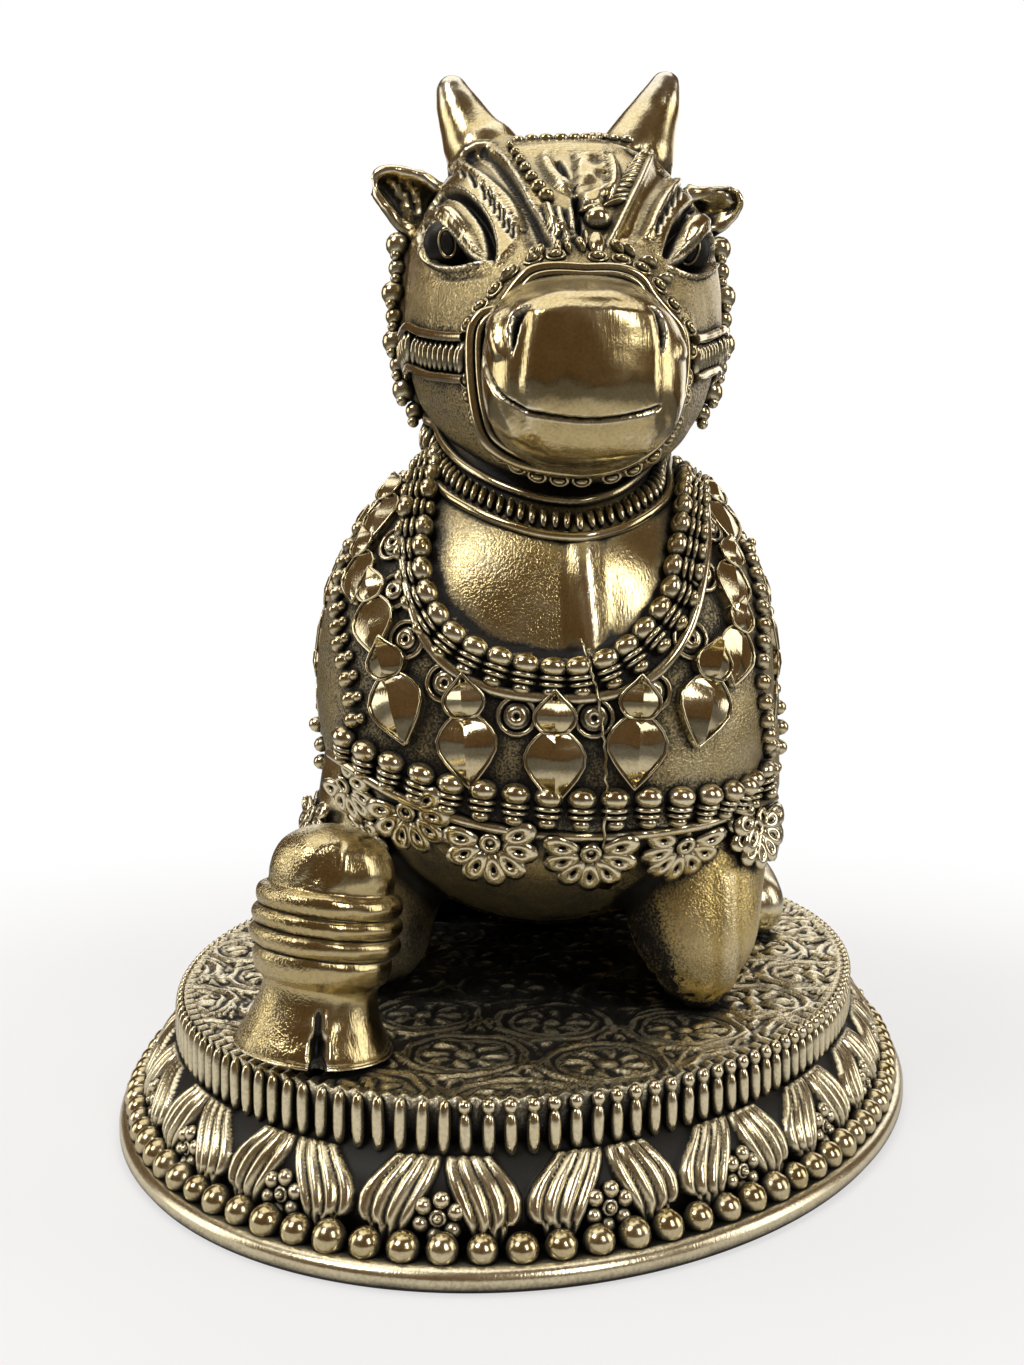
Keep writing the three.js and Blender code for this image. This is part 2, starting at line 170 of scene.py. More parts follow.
def lofted(bm, stations, sides=32, rise=UP, square=2.0):
    """A closed form through rings. A station is the ring's middle, half width, rise and drop."""
    rings = []
    rows = [s if len(s) > 3 else (*s, 0, 0, 0) for s in stations]
    rows = [(*s, s[4]) if len(s) == 5 else s for s in rows]
    for x, y, z, wide, high, low in spline(rows):
        ring = bmesh.ops.create_circle(bm, radius=1, segments=sides)["verts"]
        for i, v in enumerate(ring):
            a = 2 * math.pi * i / sides
            c, s = math.cos(a), math.sin(a)
            across = max(wide, 0.02) * math.copysign(abs(c) ** (2 / square), c)
            tall = max(high if s > 0 else low, 0.02) * math.copysign(abs(s) ** (2 / square), s)
            v.co = Vector((x + across, y, z)) + Vector(rise) * tall
        rings.append(ring)
    bridged(bm, rings)


ROUND_END = [(0.4, 0.92), (0.75, 0.66), (0.98, 0.2)]  # how far out a limb's last rings lie and how wide they are


def limb(bm, stations, sides=24):
    """A limb through balls: a station is a middle and a radius."""
    rows = spline(stations)
    rings = []
    for i, (x, y, z, r) in enumerate(rows):
        way = Vector(rows[min(i + 1, len(rows) - 1)][:3]) - Vector(rows[max(i - 1, 0)][:3])
        turn = standing((x, y, z), way, Vector((0, 1, 0)))
        before = [(-up, wide) for up, wide in reversed(ROUND_END)] if i == 0 else []
        after = ROUND_END if i == len(rows) - 1 else []
        for up, wide in [*before, (0, 1), *after]:
            ring = bmesh.ops.create_circle(bm, radius=r * wide, segments=sides)["verts"]
            bmesh.ops.transform(bm, verts=ring, matrix=turn @ Matrix.Translation((0, 0, up * r)))
            rings.append(ring)
    bridged(bm, rings)


def added(bm, template, place):
    """A copy of a small mesh, put in its place."""
    copy = template.copy()
    copy.transform(place)
    bm.from_mesh(copy)
    bpy.data.meshes.remove(copy)


def kept(name, make):
    """A small mesh that is used again and again, made once."""
    mesh = bpy.data.meshes.get(name)
    if mesh is None:
        bm = bmesh.new()
        make(bm)
        mesh = baked(bm, name)
    return mesh


def ball(bm, place, sizes, around, rows):
    """A bead with its pole along its own Z, at a point or put in its place by a matrix."""
    def make(small):
        bmesh.ops.create_uvsphere(small, u_segments=around, v_segments=rows, radius=1)

    stand = place if isinstance(place, Matrix) else Matrix.Translation(place)
    added(bm, kept(f"ball {around} {rows}", make), stand @ Matrix.Diagonal((*sizes, 1)))


def hoop(bm, turn, radius, thick, around=14, sides=6, tall=1.0, flat=1.0):
    """A ring of round section lying in its own XY plane."""
    rings = []
    for i in range(around):
        a = 2 * math.pi * i / around
        ring = bmesh.ops.create_circle(bm, radius=thick, segments=sides)["verts"]
        here = Matrix.Rotation(a, 4, "Z") @ Matrix.Translation((radius, 0, 0)) @ Matrix.Rotation(math.pi / 2, 4,
            "X")
        bmesh.ops.transform(bm, verts=ring, matrix=turn @ Matrix.Diagonal((1, tall, flat, 1)) @ here)
        rings.append(ring)
    bridged(bm, rings, closed=True)


def cord(bm, points, radius, closed=False, sides=2):
    """A tube along points."""
    curve = bpy.data.curves.new("cord", "CURVE")
    curve.dimensions = "3D"
    curve.bevel_depth = radius
    curve.bevel_resolution = sides
    curve.use_fill_caps = not closed
    line = curve.splines.new("POLY")
    line.points.add(len(points) - 1)
    for p, at in zip(line.points, points):
        p.co = (*at, 1)
    line.use_cyclic_u = closed
    obj = bpy.data.objects.new("cord", curve)
    mesh = bpy.data.meshes.new_from_object(obj)
    bm.from_mesh(mesh)
    bpy.data.objects.remove(obj)
    bpy.data.curves.remove(curve)
    bpy.data.meshes.remove(mesh)


def fused(bm, cell, rounds):
    """One smooth skin round everything in bm."""
    mesh = baked(bm, "fused")
    obj = bpy.data.objects.new("fused", mesh)
    bpy.context.collection.objects.link(obj)
    skin = obj.modifiers.new("skin", "REMESH")
    skin.mode = "VOXEL"
    skin.voxel_size = cell
    soft = obj.modifiers.new("soft", "SMOOTH")
    soft.factor = 0.5
    soft.iterations = rounds
    bpy.context.view_layer.update()
    made = bpy.data.meshes.new_from_object(obj.evaluated_get(bpy.context.evaluated_depsgraph_get()))
    bpy.data.objects.remove(obj)
    bpy.data.meshes.remove(mesh)
    return made


def read(mesh):
    """Points and normals of a mesh as arrays."""
    points = np.empty(len(mesh.vertices) * 3, dtype=np.float32)
    mesh.vertices.foreach_get("co", points)
    normals = np.empty(len(mesh.vertices) * 3, dtype=np.float32)
    mesh.vertex_normals.foreach_get("vector", normals)
    return points.reshape(-1, 3).astype(float), normals.reshape(-1, 3).astype(float)


def write(mesh, points):
    """Moves a mesh's vertices to the points."""
    mesh.vertices.foreach_set("co", points.astype(np.float32).ravel())
    mesh.update()


def edges_of(mesh):
    """The two vertices of each edge."""
    pairs = np.empty(len(mesh.edges) * 2, dtype=np.int32)
    mesh.edges.foreach_get("vertices", pairs)
    return pairs.reshape(-1, 2)


def spread(values, pairs, rounds):
    """Each vertex's value averaged with its neighbours'."""
    count = np.bincount(pairs.ravel(), minlength=len(values))
    first, second = pairs.T
    for _ in range(rounds):
        total = np.bincount(first, values[second], len(values)) + np.bincount(second, values[first], len(values))
        values = 0.5 * values + 0.5 * total / np.maximum(count, 1)
    return values


def hollowness(mesh):
    """How far each vertex lies under the mean of its neighbours, in mm: over 0 in a groove, under 0 on an edge."""
    points, normals = read(mesh)
    pairs = edges_of(mesh)
    mean = np.stack([spread(axis, pairs, 3) for axis in points.T], 1)
    return ((mean - points) * normals).sum(1)


def put(mesh, name, values):
    """Keeps a value for each vertex, which the material reads by name."""
    layer = mesh.attributes.get(name) or mesh.attributes.new(name, "FLOAT", "POINT")
    layer.data.foreach_set("value", values.astype(np.float32))


def away(points, path, reach):
    """Each point's distance from a path and its share along it; points further than reach get reach."""
    path = np.array(path, dtype=float)
    low, high = path.min(0) - reach, path.max(0) + reach
    near = np.nonzero(((points > low) & (points < high)).all(1))[0]
    best = np.full(len(points), reach, dtype=float)
    along = np.zeros(len(points))
    if len(near) == 0:
        return best, along
    here = points[near]
    least, share = np.full(len(near), reach), np.zeros(len(near))
    count = max(len(path) - 1, 1)
    for i, (a, b) in enumerate(zip(path, path[1:])):
        step = b - a
        t = np.clip(((here - a) @ step) / max(step @ step, 1e-9), 0, 1)
        gap = np.linalg.norm(here - a - t[:, None] * step, axis=1)
        closer = gap < least
        least[closer] = gap[closer]
        share[closer] = (i + t[closer]) / count
    best[near], along[near] = least, share
    return best, along


def stroke(points, path, width, form, taper, fading):
    """A line's section at each point, from 1 on the path to 0 at its width, run out at both ends by the taper."""
    gap, along = away(points, path, width)
    t = np.clip(gap / width, 0, 1)
    if form == "round":
        shape = 0.5 + 0.5 * np.cos(np.pi * t)
    elif form == "cord":
        shape = np.sqrt(np.clip(1 - t * t, 0, 1))
    elif form == "sharp":
        shape = (1 - t) ** 1.5
    else:
        raise ValueError(f"no stroke is called {form}")
    if taper:
        shape = shape * np.clip(np.minimum(along, 1 - along) / taper, 0, 1) ** fading
    return shape


def tooled(points, normals, path, width, height, form="round", taper=0.0):
    """Raises (or with a height under 0 cuts) a line into the surface along a path."""
    return points + normals * (stroke(points, path, width, form, taper, 0.5) * height)[:, None]


def within(x, y, outline):
    """Which points lie in a closed outline."""
    inside = np.zeros(len(x), dtype=bool)
    for (x0, y0), (x1, y1) in zip(outline, outline[1:] + outline[:1]):
        crosses = (y0 > y) != (y1 > y)
        at = x0 + (y - y0) * (x1 - x0) / ((y1 - y0) or 1e-9)
        inside ^= crosses & (x < at)
    return inside


def wobble(points, size, seed=0.0):
    """Smooth noise from -1 to 1 at each point; size is its grain in mm."""
    return np.array([noise.noise(Vector((p[0] / size + seed, p[1] / size, p[2] / size))) for p in points])


HOLLOW_GAIN = 12  # a vertex 1/12 mm under its neighbours counts as fully hollow


def finished(name, source, material, place=Matrix(), grain=None, wash_and_shade=None, hollow=1.0):
    """Makes the piece's object: metres, smooth, with how hollow each point is, riding on the one body."""
    mesh = source if isinstance(source, bpy.types.Mesh) else baked(source, name)
    mesh.name = name
    put(mesh, "hollow", np.clip(hollowness(mesh) * hollow * HOLLOW_GAIN, -1, 1))
    # Each vertex may keep its grain, and a mark for the dark wash together with painted shade and painted light.
    for layer, values in (("grain", grain), ("wash_and_shade", wash_and_shade)):
        if values is not None:
            put(mesh, layer, values)
    mesh.transform(Matrix.Scale(MM, 4) @ place)
    mesh.shade_smooth()
    mesh.materials.clear()
    mesh.materials.append(material)
    obj = bpy.data.objects.new(name, mesh)
    bpy.context.collection.objects.link(obj)
    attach(obj, "root")
    return obj


# The camera stands where the photograph was taken from.

PHOTO_WIDE, PHOTO_TALL = 1024, 1365
FOCAL = 1400.0
CAMERA_TURN, CAMERA_RISE = math.radians(10.213), math.radians(3.277)
CAMERA_AIM = Vector((-1.768, 0, 43.835))
CAMERA_FAR = 164.63
CAMERA_BACK = Vector((
    math.sin(CAMERA_TURN) * math.cos(CAMERA_RISE), -math.cos(CAMERA_TURN) * math.cos(CAMERA_RISE),
    math.sin(CAMERA_RISE)))
CAMERA_AT = CAMERA_AIM + CAMERA_BACK * CAMERA_FAR

# The bull lies turned and a little to one side on the plate; its head turns further, on the neck's upright axis.
PLATE_TOP = 13.3
SEAT = PLATE_TOP + 0.3
NECK_AXIS_Y = -12
BULL = Matrix.Rotation(math.radians(7), 4, "Z") @ Matrix.Translation((2.7, 0, SEAT))
HEAD_TURN = Matrix.Rotation(math.radians(6), 4, "Z")
HEAD = Matrix.Translation((1.2, NECK_AXIS_Y, 0)) @ HEAD_TURN @ Matrix.Translation((0, -NECK_AXIS_Y, 0))
OUTSIDE = 60  # mm from the axis, clear of the whole bull, where rays towards it start


def sight(u, v):
    """The camera's ray through a point of the picture, in the bull's own frame."""
    right = (-CAMERA_BACK).cross(UP).normalized()
    up = right.cross(-CAMERA_BACK)
    way = -CAMERA_BACK + right * ((u - PHOTO_WIDE / 2) / FOCAL) - up * ((v - PHOTO_TALL / 2) / FOCAL)
    inside = BULL.inverted()
    return inside @ CAMERA_AT, (inside.to_3x3() @ way).normalized()


def tree_of(mesh):
    """The mesh's surface, to be met by rays."""
    bm = bmesh.new()
    bm.from_mesh(mesh)
    tree = BVHTree.FromBMesh(bm)
    bm.free()
    return tree


def skin_of(name):
    """The surface of a finished piece of the bull, in the bull's frame and mm."""
    obj = bpy.data.objects.get(name)
    if obj is None:
        raise RuntimeError(f"{name} has to be built first")
    mesh = obj.data.copy()
    mesh.transform(BULL.inverted() @ Matrix.Scale(1 / MM, 4))
    tree = tree_of(mesh)
    bpy.data.meshes.remove(mesh)
    return tree


def struck(tree, origin, way, wide=0.7):
    """Where a ray meets a surface, with the surface's mean way out round there; None where it misses."""
    at, _, _, _ = tree.ray_cast(origin, way)
    if at is None:
        return None
    side = way.orthogonal().normalized()
    other = way.cross(side)
    out = Vector()
    for a in range(6):
        step = (side * math.cos(a * math.pi / 3) + other * math.sin(a * math.pi / 3)) * wide
        hit, normal, _, _ = tree.ray_cast(origin + step, way)
        if hit is not None and (hit - at).length < wide * 4:
            out += normal
    return at, (out if out.length > 0.1 else -way).normalized()


def seen(tree, u, v, wide=0.7):
    """Where the picture shows the surface at a point."""
    return struck(tree, *sight(u, v), wide)


def polar(tree, turn, z, wide=0.7):
    """On the surface at a turn from the front and a height, looking in at the neck's upright axis."""
    a = math.radians(turn)
    out = Vector((math.sin(a), -math.cos(a), 0))
    return struck(tree, Vector((0, NECK_AXIS_Y, z)) + out * OUTSIDE, -out, wide)


def sideways(tree, hand, y, z, wide=0.7):
    """Where a level ray from one side meets the surface: hand is 1 for the bull's left and -1 for its right."""
    return struck(tree, Vector((hand * OUTSIDE, y, z)), Vector((-hand, 0, 0)), wide)


def draped(tree, pixels, per=10, rounds=2, lift=0.0):
    """A path drawn on the picture and laid on the surface."""
    hits = [seen(tree, u, v) for u, v in spline(pixels, per)]
    return eased([h for h in hits if h], rounds, lift)


def eased(hits, rounds=2, lift=0.0):
    """Points lifted off their surface and smoothed along the path."""
    if len(hits) < 2:
        return []
    line = [at + out * lift for at, out in hits]
    for _ in range(rounds):
        line = [line[0]] + [(a + b * 2 + c) / 4 for a, b, c in zip(line, line[1:], line[2:])] + [line[-1]]
    return line


def evenly(hits, step):
    """Hits at equal steps along a dense run of them, each with the way along."""
    picked, run = [], step / 2
    for (a, _), (b, out) in zip(hits, hits[1:]):
        length = (b - a).length
        run += length
        while run >= step and length > 0:
            run -= step
            picked.append((b.lerp(a, min(run / length, 1)), out, (b - a).normalized()))
    return picked


def whole(pieces):
    """The hits, without the rays that missed."""
    return [p for p in pieces if p]


# Finish


class Wiring:
    """Adds nodes to a node tree. What feeds a socket is a value or another node's output."""

    def __init__(self, tree):
        self.tree = tree

    def fed(self, node, inputs):
        for name, value in inputs.items():
            if isinstance(value, bpy.types.NodeSocket):
                self.tree.links.new(value, node.inputs[name])
            else:
                node.inputs[name].default_value = value
        return node

    def node(self, kind, inputs=None, **settings):
        made = self.tree.nodes.new(kind)
        for name, value in settings.items():
            setattr(made, name, value)
        return self.fed(made, inputs or {})

    def maths(self, kind, a, b, clamp=False):
        return self.node("ShaderNodeMath", {0: a, 1: b}, operation=kind, use_clamp=clamp).outputs[0]

    def total(self, first, *others):
        for value in others:
            first = self.maths("ADD", first, value)
        return first

    def swing(self, value, middle, share):
        """How far a value is from its middle, times a share."""
        return self.maths("MULTIPLY", self.maths("SUBTRACT", value, middle), share)

    def mapped(self, value, low, high, to_low=0.0, to_high=1.0):
        limits = {"Value": value, "From Min": low, "From Max": high, "To Min": to_low, "To Max": to_high}
        return self.node("ShaderNodeMapRange", limits, interpolation_type="SMOOTHSTEP").outputs["Result"]

    def mixed(self, share, a, b):
        """Colour a where the share is 0 and b where it is 1."""
        return self.node("ShaderNodeMix", {"Factor": share, 6: a, 7: b}, data_type="RGBA").outputs[2]

    def painted(self, name):
        """A value that put() keeps for each vertex."""
        return self.node("ShaderNodeAttribute", attribute_name=name).outputs["Fac"]


def gold_group():
    """Antique gold: dark wash in the recesses, with painted shade where a point is shut in, gilt metal, rubbed bright
    on the relief, cast grain.
    """
    group = bpy.data.node_groups.get("Antique gold")
    if group:
        return group
    group = bpy.data.node_groups.new("Antique gold", "ShaderNodeTree")
    for name, start in (
        ("Open", 1.0), ("Gold", (0.6, 0.4, 0.2, 1)), ("Worn", (0.8, 0.7, 0.4, 1)),
        ("Patina and shade", (0.01, 0.01, 0.01, 1)),
        ("Wash", 0.5), ("Wear", 0.5), ("Polish", 0.5), ("Stipple", 0.3), ("Brushed", 0.2),
    ):
        kind = "NodeSocketColor" if isinstance(start, tuple) else "NodeSocketFloat"
        group.interface.new_socket(name, in_out="INPUT", socket_type=kind).default_value = start
    for name in ("Color", "Roughness", "Metallic", "Height", "Recess"):
        kind = "NodeSocketColor" if name == "Color" else "NodeSocketFloat"
        group.interface.new_socket(name, in_out="OUTPUT", socket_type=kind)
    wire = Wiring(group)
    maths, total, swing, mapped, mixed = wire.maths, wire.total, wire.swing, wire.mapped, wire.mixed
    given, result = group.nodes.new("NodeGroupInput").outputs, group.nodes.new("NodeGroupOutput")
    place = wire.node("ShaderNodeTexCoord").outputs["Object"]

    def noisy(scale, detail, rough=0.5, vector=place):
        values = {"Vector": vector, "Scale": scale, "Detail": detail, "Roughness": rough}
        return wire.node("ShaderNodeTexNoise", values).outputs["Fac"]

    drawn_out = {"Vector": place, "Scale": (6, 6, 0.7), "Rotation": (0.5, 0.3, 0.6)}
    hollow, stippled, washed_and_shaded = wire.painted("hollow"), wire.painted("grain"), wire.painted("wash_and_shade")
    cloudy, fine, cells = noisy(260, 3), noisy(3600, 2, 0.6), noisy(4400, 1.5)
    streaks = noisy(900, 2, vector=wire.node("ShaderNodeMapping", drawn_out).outputs[0])

    # Dark lies in what is shut in from the light, as painted shade; in grooves, as the wash; in what each vertex is
    # marked for, as wash and painted shade; unevenly; and in the stipple's pits.
    shut = maths("SUBTRACT", 1.0, given["Open"])
    groove = maths("MAXIMUM", hollow, 0.0)
    pits = maths("MULTIPLY", maths("MULTIPLY", stippled, mapped(cells, 0.42, 0.6)), 0.33)
    sunk = total(
        maths("MULTIPLY", shut, 1.15), maths("MULTIPLY", groove, 0.75), swing(cloudy, 0.5, 0.35),
        swing(fine, 0.5, 0.22),
        maths("MULTIPLY", washed_and_shaded, 0.55), pits, maths("SUBTRACT", given["Wash"], 0.5))
    recess = mapped(sunk, 0.22, 0.66)

    # Edges are rubbed bright, more in some places than in others.
    edge = maths("MAXIMUM", maths("MULTIPLY", hollow, -1.0), 0.0)
    rubbed = total(maths("MULTIPLY", edge, 1.2), swing(cloudy, 0.45, 0.8), maths("SUBTRACT", given["Wear"], 0.5))
    metal = mixed(mapped(rubbed, 0.0, 0.75), given["Gold"], given["Worn"])
    smoky = mixed(mapped(fine, 0.38, 0.7, 0.0, 0.18), metal, given["Patina and shade"])

    dull = total(
        maths("MULTIPLY", maths("SUBTRACT", 1.0, given["Polish"]), 0.42), 0.07, swing(cloudy, 0.5, 0.16),
        maths("MULTIPLY", stippled, 0.12))
    dots = maths("MULTIPLY", maths("MULTIPLY", mapped(cells, 0.35, 0.65), stippled), given["Stipple"])
    wire.fed(result, {
        "Color": mixed(recess, smoky, given["Patina and shade"]),
        "Roughness": maths("ADD", dull, maths("MULTIPLY", recess, 0.3), clamp=True),
        "Metallic": maths("SUBTRACT", 1.0, maths("MULTIPLY", recess, 0.75)),
        "Height": total(dots, maths("MULTIPLY", streaks, given["Brushed"]), maths("MULTIPLY", fine, 0.12)),
        "Recess": recess,
    })
    return group


def gold(name, wash=0.5, wear=0.5, polish=0.6, brushed=0.15, reach=2.6, tips=None):
    """An antique gold material: reach is how far in mm the shade in recesses looks, tips the colour of bare metal."""
    material = bpy.data.materials.get(name)
    if material:
        return material
    colours = bpy.context.scene.nandi_finish
    material = bpy.data.materials.new(name)
    material.use_nodes = True
    wire = Wiring(material.node_tree)
    # The occlusion darkens the colour where a point is shut in: painted shade.
    open_to_light = wire.node("ShaderNodeAmbientOcclusion", {"Distance": reach * MM}, samples=6).outputs["AO"]
    finish = wire.node("ShaderNodeGroup", {
        "Open": open_to_light, "Gold": (*colours.gold, 1), "Worn": (*colours.worn, 1),
        "Patina and shade": (*colours.patina_and_shade, 1),
        "Wash": wash, "Wear": wear, "Polish": polish, "Stipple": 1.0, "Brushed": brushed,
    }, node_tree=gold_group()).outputs
    bump = wire.node("ShaderNodeBump", {"Height": finish["Height"], "Strength": 0.55, "Distance": 0.00012})
    colour = finish["Color"]
    if tips is not None:
        clean = wire.maths("SUBTRACT", 1.0, finish["Recess"])
        colour = wire.mixed(wire.maths("MULTIPLY", clean, wire.painted("bare")), colour, (*tips, 1))
    wire.fed(material.node_tree.nodes["Principled BSDF"], {
        "Base Color": colour, "Roughness": finish["Roughness"], "Metallic": finish["Metallic"],
        "Normal": bump.outputs["Normal"],
    })
    return material


# Base


def oval_point(turn, inset, z=0.0):
    """A point of the oval at an inset from the foot's rim, and the way outwards there."""
    sizes = bpy.context.scene.nandi_base
    wide, long = sizes.width / 2 / MM - inset, sizes.length / 2 / MM - inset
    out = Vector((math.cos(turn) / wide, math.sin(turn) / long, 0)).normalized()
    return Vector((wide * math.cos(turn), long * math.sin(turn), z)), out


def oval_turns(count, inset, phase=0.0):
    """Angles that part the oval at an inset into equal lengths."""
    fine = 2880
    turns = [2 * math.pi * i / fine for i in range(fine + 1)]
    points = [oval_point(t, inset)[0] for t in turns]
    reach = np.concatenate([[0], np.cumsum([(b - a).length for a, b in zip(points, points[1:])])])
    goals = [((k + phase) / count) % 1 * reach[-1] for k in range(count)]
    return [float(np.interp(g, reach, turns)) for g in goals]


def oval_turned(bm, profile, steps):
    """A grid bent round the oval along a profile of [inset, height], joined and filled at both ends."""
    verts = bmesh.ops.create_grid(bm, x_segments=steps, y_segments=len(profile) - 1, size=0.5)["verts"]
    for v in verts:
        inset, z = profile[int(round((v.co.y + 0.5) * (len(profile) - 1)))]
        v.co = oval_point((v.co.x + 0.5) * 2 * math.pi, inset, z)[0]
    bmesh.ops.remove_doubles(bm, verts=bm.verts, dist=1e-4)
    bmesh.ops.holes_fill(bm, edges=[e for e in bm.edges if e.is_boundary], sides=0)


# The base's profile, each point an inset from the foot's rim and a height: foot and bead channel, slope, top.
FOOT = [(1.0, 0), (0.35, 0.15), (0.0, 0.6), (0.0, 1.25), (0.2, 1.7), (0.7, 2.0), (1.3, 2.0), (3.6, 1.75)]
SLOPE = [(4.75, 1.9), (4.4, 2.2), (3.75, 4.1), (4.15, 5.8), (5.2, 7.6), (7.2, 9.3)]
UNDER_REEDS = [(8.6, 9.4), (8.9, 11), (10, 12)]
PETAL_INSET, PETAL_PHASE, PETAL_RELIEF = 3.7, 0.68, 1.3
PETAL_LOW, PETAL_HIGH = 2.3, 8.3
PLATE_INSET, PLATE_UNDERSIDE = 6.55, 8.8
MEDALLION_PITCH = 12.6
LEAF_EDGES = [  # height share, inner edge, outer edge, as shares of a pair's pitch
    (0.0, 0.29, 0.335), (0.08, 0.25, 0.37), (0.18, 0.20, 0.395), (0.31, 0.165, 0.415), (0.345, 0.15, 0.478),
    (0.45, 0.12, 0.492), (0.6, 0.075, 0.49), (0.75, 0.04, 0.452), (0.9, 0.012, 0.375), (1.0, 0.005, 0.315),
]


def leaf_height(across, up):
    """Relief of a petal pair from 0 to 1: two ribbed leaves that part downwards."""
    heights, inner, outer = zip(*LEAF_EDGES)
    a, b = np.interp(up, heights, inner), np.interp(up, heights, outer)
    share = (np.abs(across) - a) / (b - a)
    inside = (share > 0) & (share < 1) & (up > 0) & (up < 1.01)
    share = np.clip(share, 0, 1)
    edge = np.clip(np.minimum(share, 1 - share) / 0.05, 0, 1) * np.clip(up / 0.05, 0, 1)
    ribs = np.abs(np.sin(np.pi * 4 * share)) ** 0.7
    bowed = 0.75 + 0.25 * np.sin(np.pi * share)
    return np.where(inside, edge ** 0.5 * bowed * (0.52 + 0.48 * ribs), 0)


class NANDI_OT_base(bpy.types.Operator):
    """Builds the base's foot, its slope of lotus petals and their small flowers"""
    bl_idname = "nandi.base"
    bl_label = "Lotus base"

    def execute(self, context):
        sizes = context.scene.nandi_base
        bm = bmesh.new()
        slope = [(float(inset), float(z)) for inset, z in spline(SLOPE, 8)]
        oval_turned(bm, FOOT + slope + UNDER_REEDS, sizes.petals * 78)
        mesh = baked(bm, "base")
        points, normals = read(mesh)
        half, longer = sizes.width / 2 / MM, (sizes.length - sizes.width) / 2 / MM
        reach = np.hypot(points[:, 0], points[:, 1])
        turn = np.arctan2(points[:, 1] / (half - 4 + longer), points[:, 0] / (half - 4)) % (2 * np.pi)
        turns = oval_turns(sizes.petals, PETAL_INSET, PETAL_PHASE)
        centres = np.array(sorted(turns))
        ring = np.concatenate([[centres[-1] - 2 * np.pi], centres, [centres[0] + 2 * np.pi]])
        place = np.interp(turn, ring, np.arange(len(ring)))
        across = place - np.round(place)
        up = (points[:, 2] - PETAL_LOW) / (PETAL_HIGH - PETAL_LOW)
        on_slope = (reach > 25) & (points[:, 2] > 2.15) & (points[:, 2] < 9.32)
        leaf = np.where(on_slope, leaf_height(across, up), 0)
        push = leaf * (PETAL_RELIEF * np.clip(1.2 - up * 0.55, 0.6, 1.2))
        inset = (1 - np.hypot(points[:, 0] / half, points[:, 1] / (half + longer))) * half
        channel = (inset > 1.0) & (points[:, 2] > 1.5) & ~on_slope
        # The bead channel, the ground between the leaves and the band under the reeds are marked near-black: dark
        # wash and painted shade between the parts.
        put(mesh, "wash_and_shade", np.where(channel | (on_slope & (leaf < 0.1)) | (points[:, 2] > 9.2), 1.6, 0.0))
        write(mesh, points + normals * push[:, None])
        bm = bmesh.new()
        bm.from_mesh(mesh)
        bpy.data.meshes.remove(mesh)
        # Low between the two leaves of each pair, a small flower: six balls round a seventh in a ring.
        for turn_at in turns:
            at, outwards = oval_point(turn_at, 3.2, 4.75)
            stand = standing(at, outwards + Vector((0, 0, 0.12)))
            for k in range(6):
                a = (k + 0.15) * math.pi / 3
                seat = stand @ Matrix.Translation((1.5 * math.sin(a), 1.4 * math.cos(a), -0.1))
                ball(bm, seat, (0.72, 0.72, 0.66), 10, 6)
            ball(bm, stand @ Matrix.Translation((0, 0, 0.25)), (0.42, 0.42, 0.5), 8, 6)
            hoop(bm, stand @ Matrix.Translation((0, 0, 0.1)), 0.55, 0.2, 10, 5)
        metal = gold("base gold", wash=0.5, wear=0.72, polish=0.6, brushed=0.3, reach=2.2)
        obj = finished("base_petals", bm, metal)
        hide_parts("lotus_base")
        return {"FINISHED"}


class NANDI_OT_beads(bpy.types.Operator):
    """Builds the ring of balls round the foot"""
    bl_idname = "nandi.beads"
    bl_label = "Base beads"

    def execute(self, context):
        sizes = context.scene.nandi_base
        bm = bmesh.new()
        for k, turn in enumerate(oval_turns(sizes.beads, 1.9)):
            at, out = oval_point(turn, 2.0, 2.75)
            size = 1.36 + 0.2 * noise.noise(Vector((k * 3.7, 0.5, 0)))
            tall = size * (1 + 0.12 * noise.noise(Vector((k * 2.3, 9.5, 0))))
            ball(bm, standing(at, UP, out), (size, size, tall), 14, 10)
        metal = gold("base bead gold", wash=0.49, wear=0.58, polish=0.7, reach=1.8)
        finished("base_beads", bm, metal, hollow=0.1)
        return {"FINISHED"}


def rod(bm, sizes, rows, fullness):
    """An upright rod with rounded ends, standing on its own XY plane."""
    ball(bm, (0, 0, 0), sizes, 8, rows)
    tall = sizes[2]
    for v in bm.verts:
        v.co.z = tall + tall * math.copysign(min(abs(v.co.z) / tall, 1) ** fullness, v.co.z)


class NANDI_OT_reeds(bpy.types.Operator):
    """Builds the upright reeds round the plate's edge"""
    bl_idname = "nandi.reeds"
    bl_label = "Reeds"

    def execute(self, context):
        sizes = context.scene.nandi_base

        def beaded_reed(small):
            """A long bead with a short one on it."""
            rod(small, (0.56, 0.62, 1.85), 7, 0.6)
            ball(small, (0, 0, 4.1), (0.6, 0.62, 0.66), 8, 6)

        def plain_reed(small):
            """One long bead."""
            rod(small, (0.55, 0.62, 2.35), 9, 0.55)

        bm = bmesh.new()
        reed, long_reed = kept("reed", beaded_reed), kept("long reed", plain_reed)
        for k, turn in enumerate(oval_turns(sizes.reeds, 6.2)):
            at, out = oval_point(turn, 6.3, 8.5)
            lean = 0.05 * noise.noise(Vector((k * 5.1, 2.5, 0)))
            beaded = at.x > 4 + 3 * noise.noise(Vector((k * 0.9, 7.5, 0)))
            added(bm, reed if beaded else long_reed, standing(at, UP, out) @ Matrix.Rotation(lean, 4, "Y"))
        metal = gold("reed gold", wash=0.46, wear=0.75, polish=0.7, reach=1.6)
        finished("base_reeds", bm, metal, hollow=0.15)
        return {"FINISHED"}


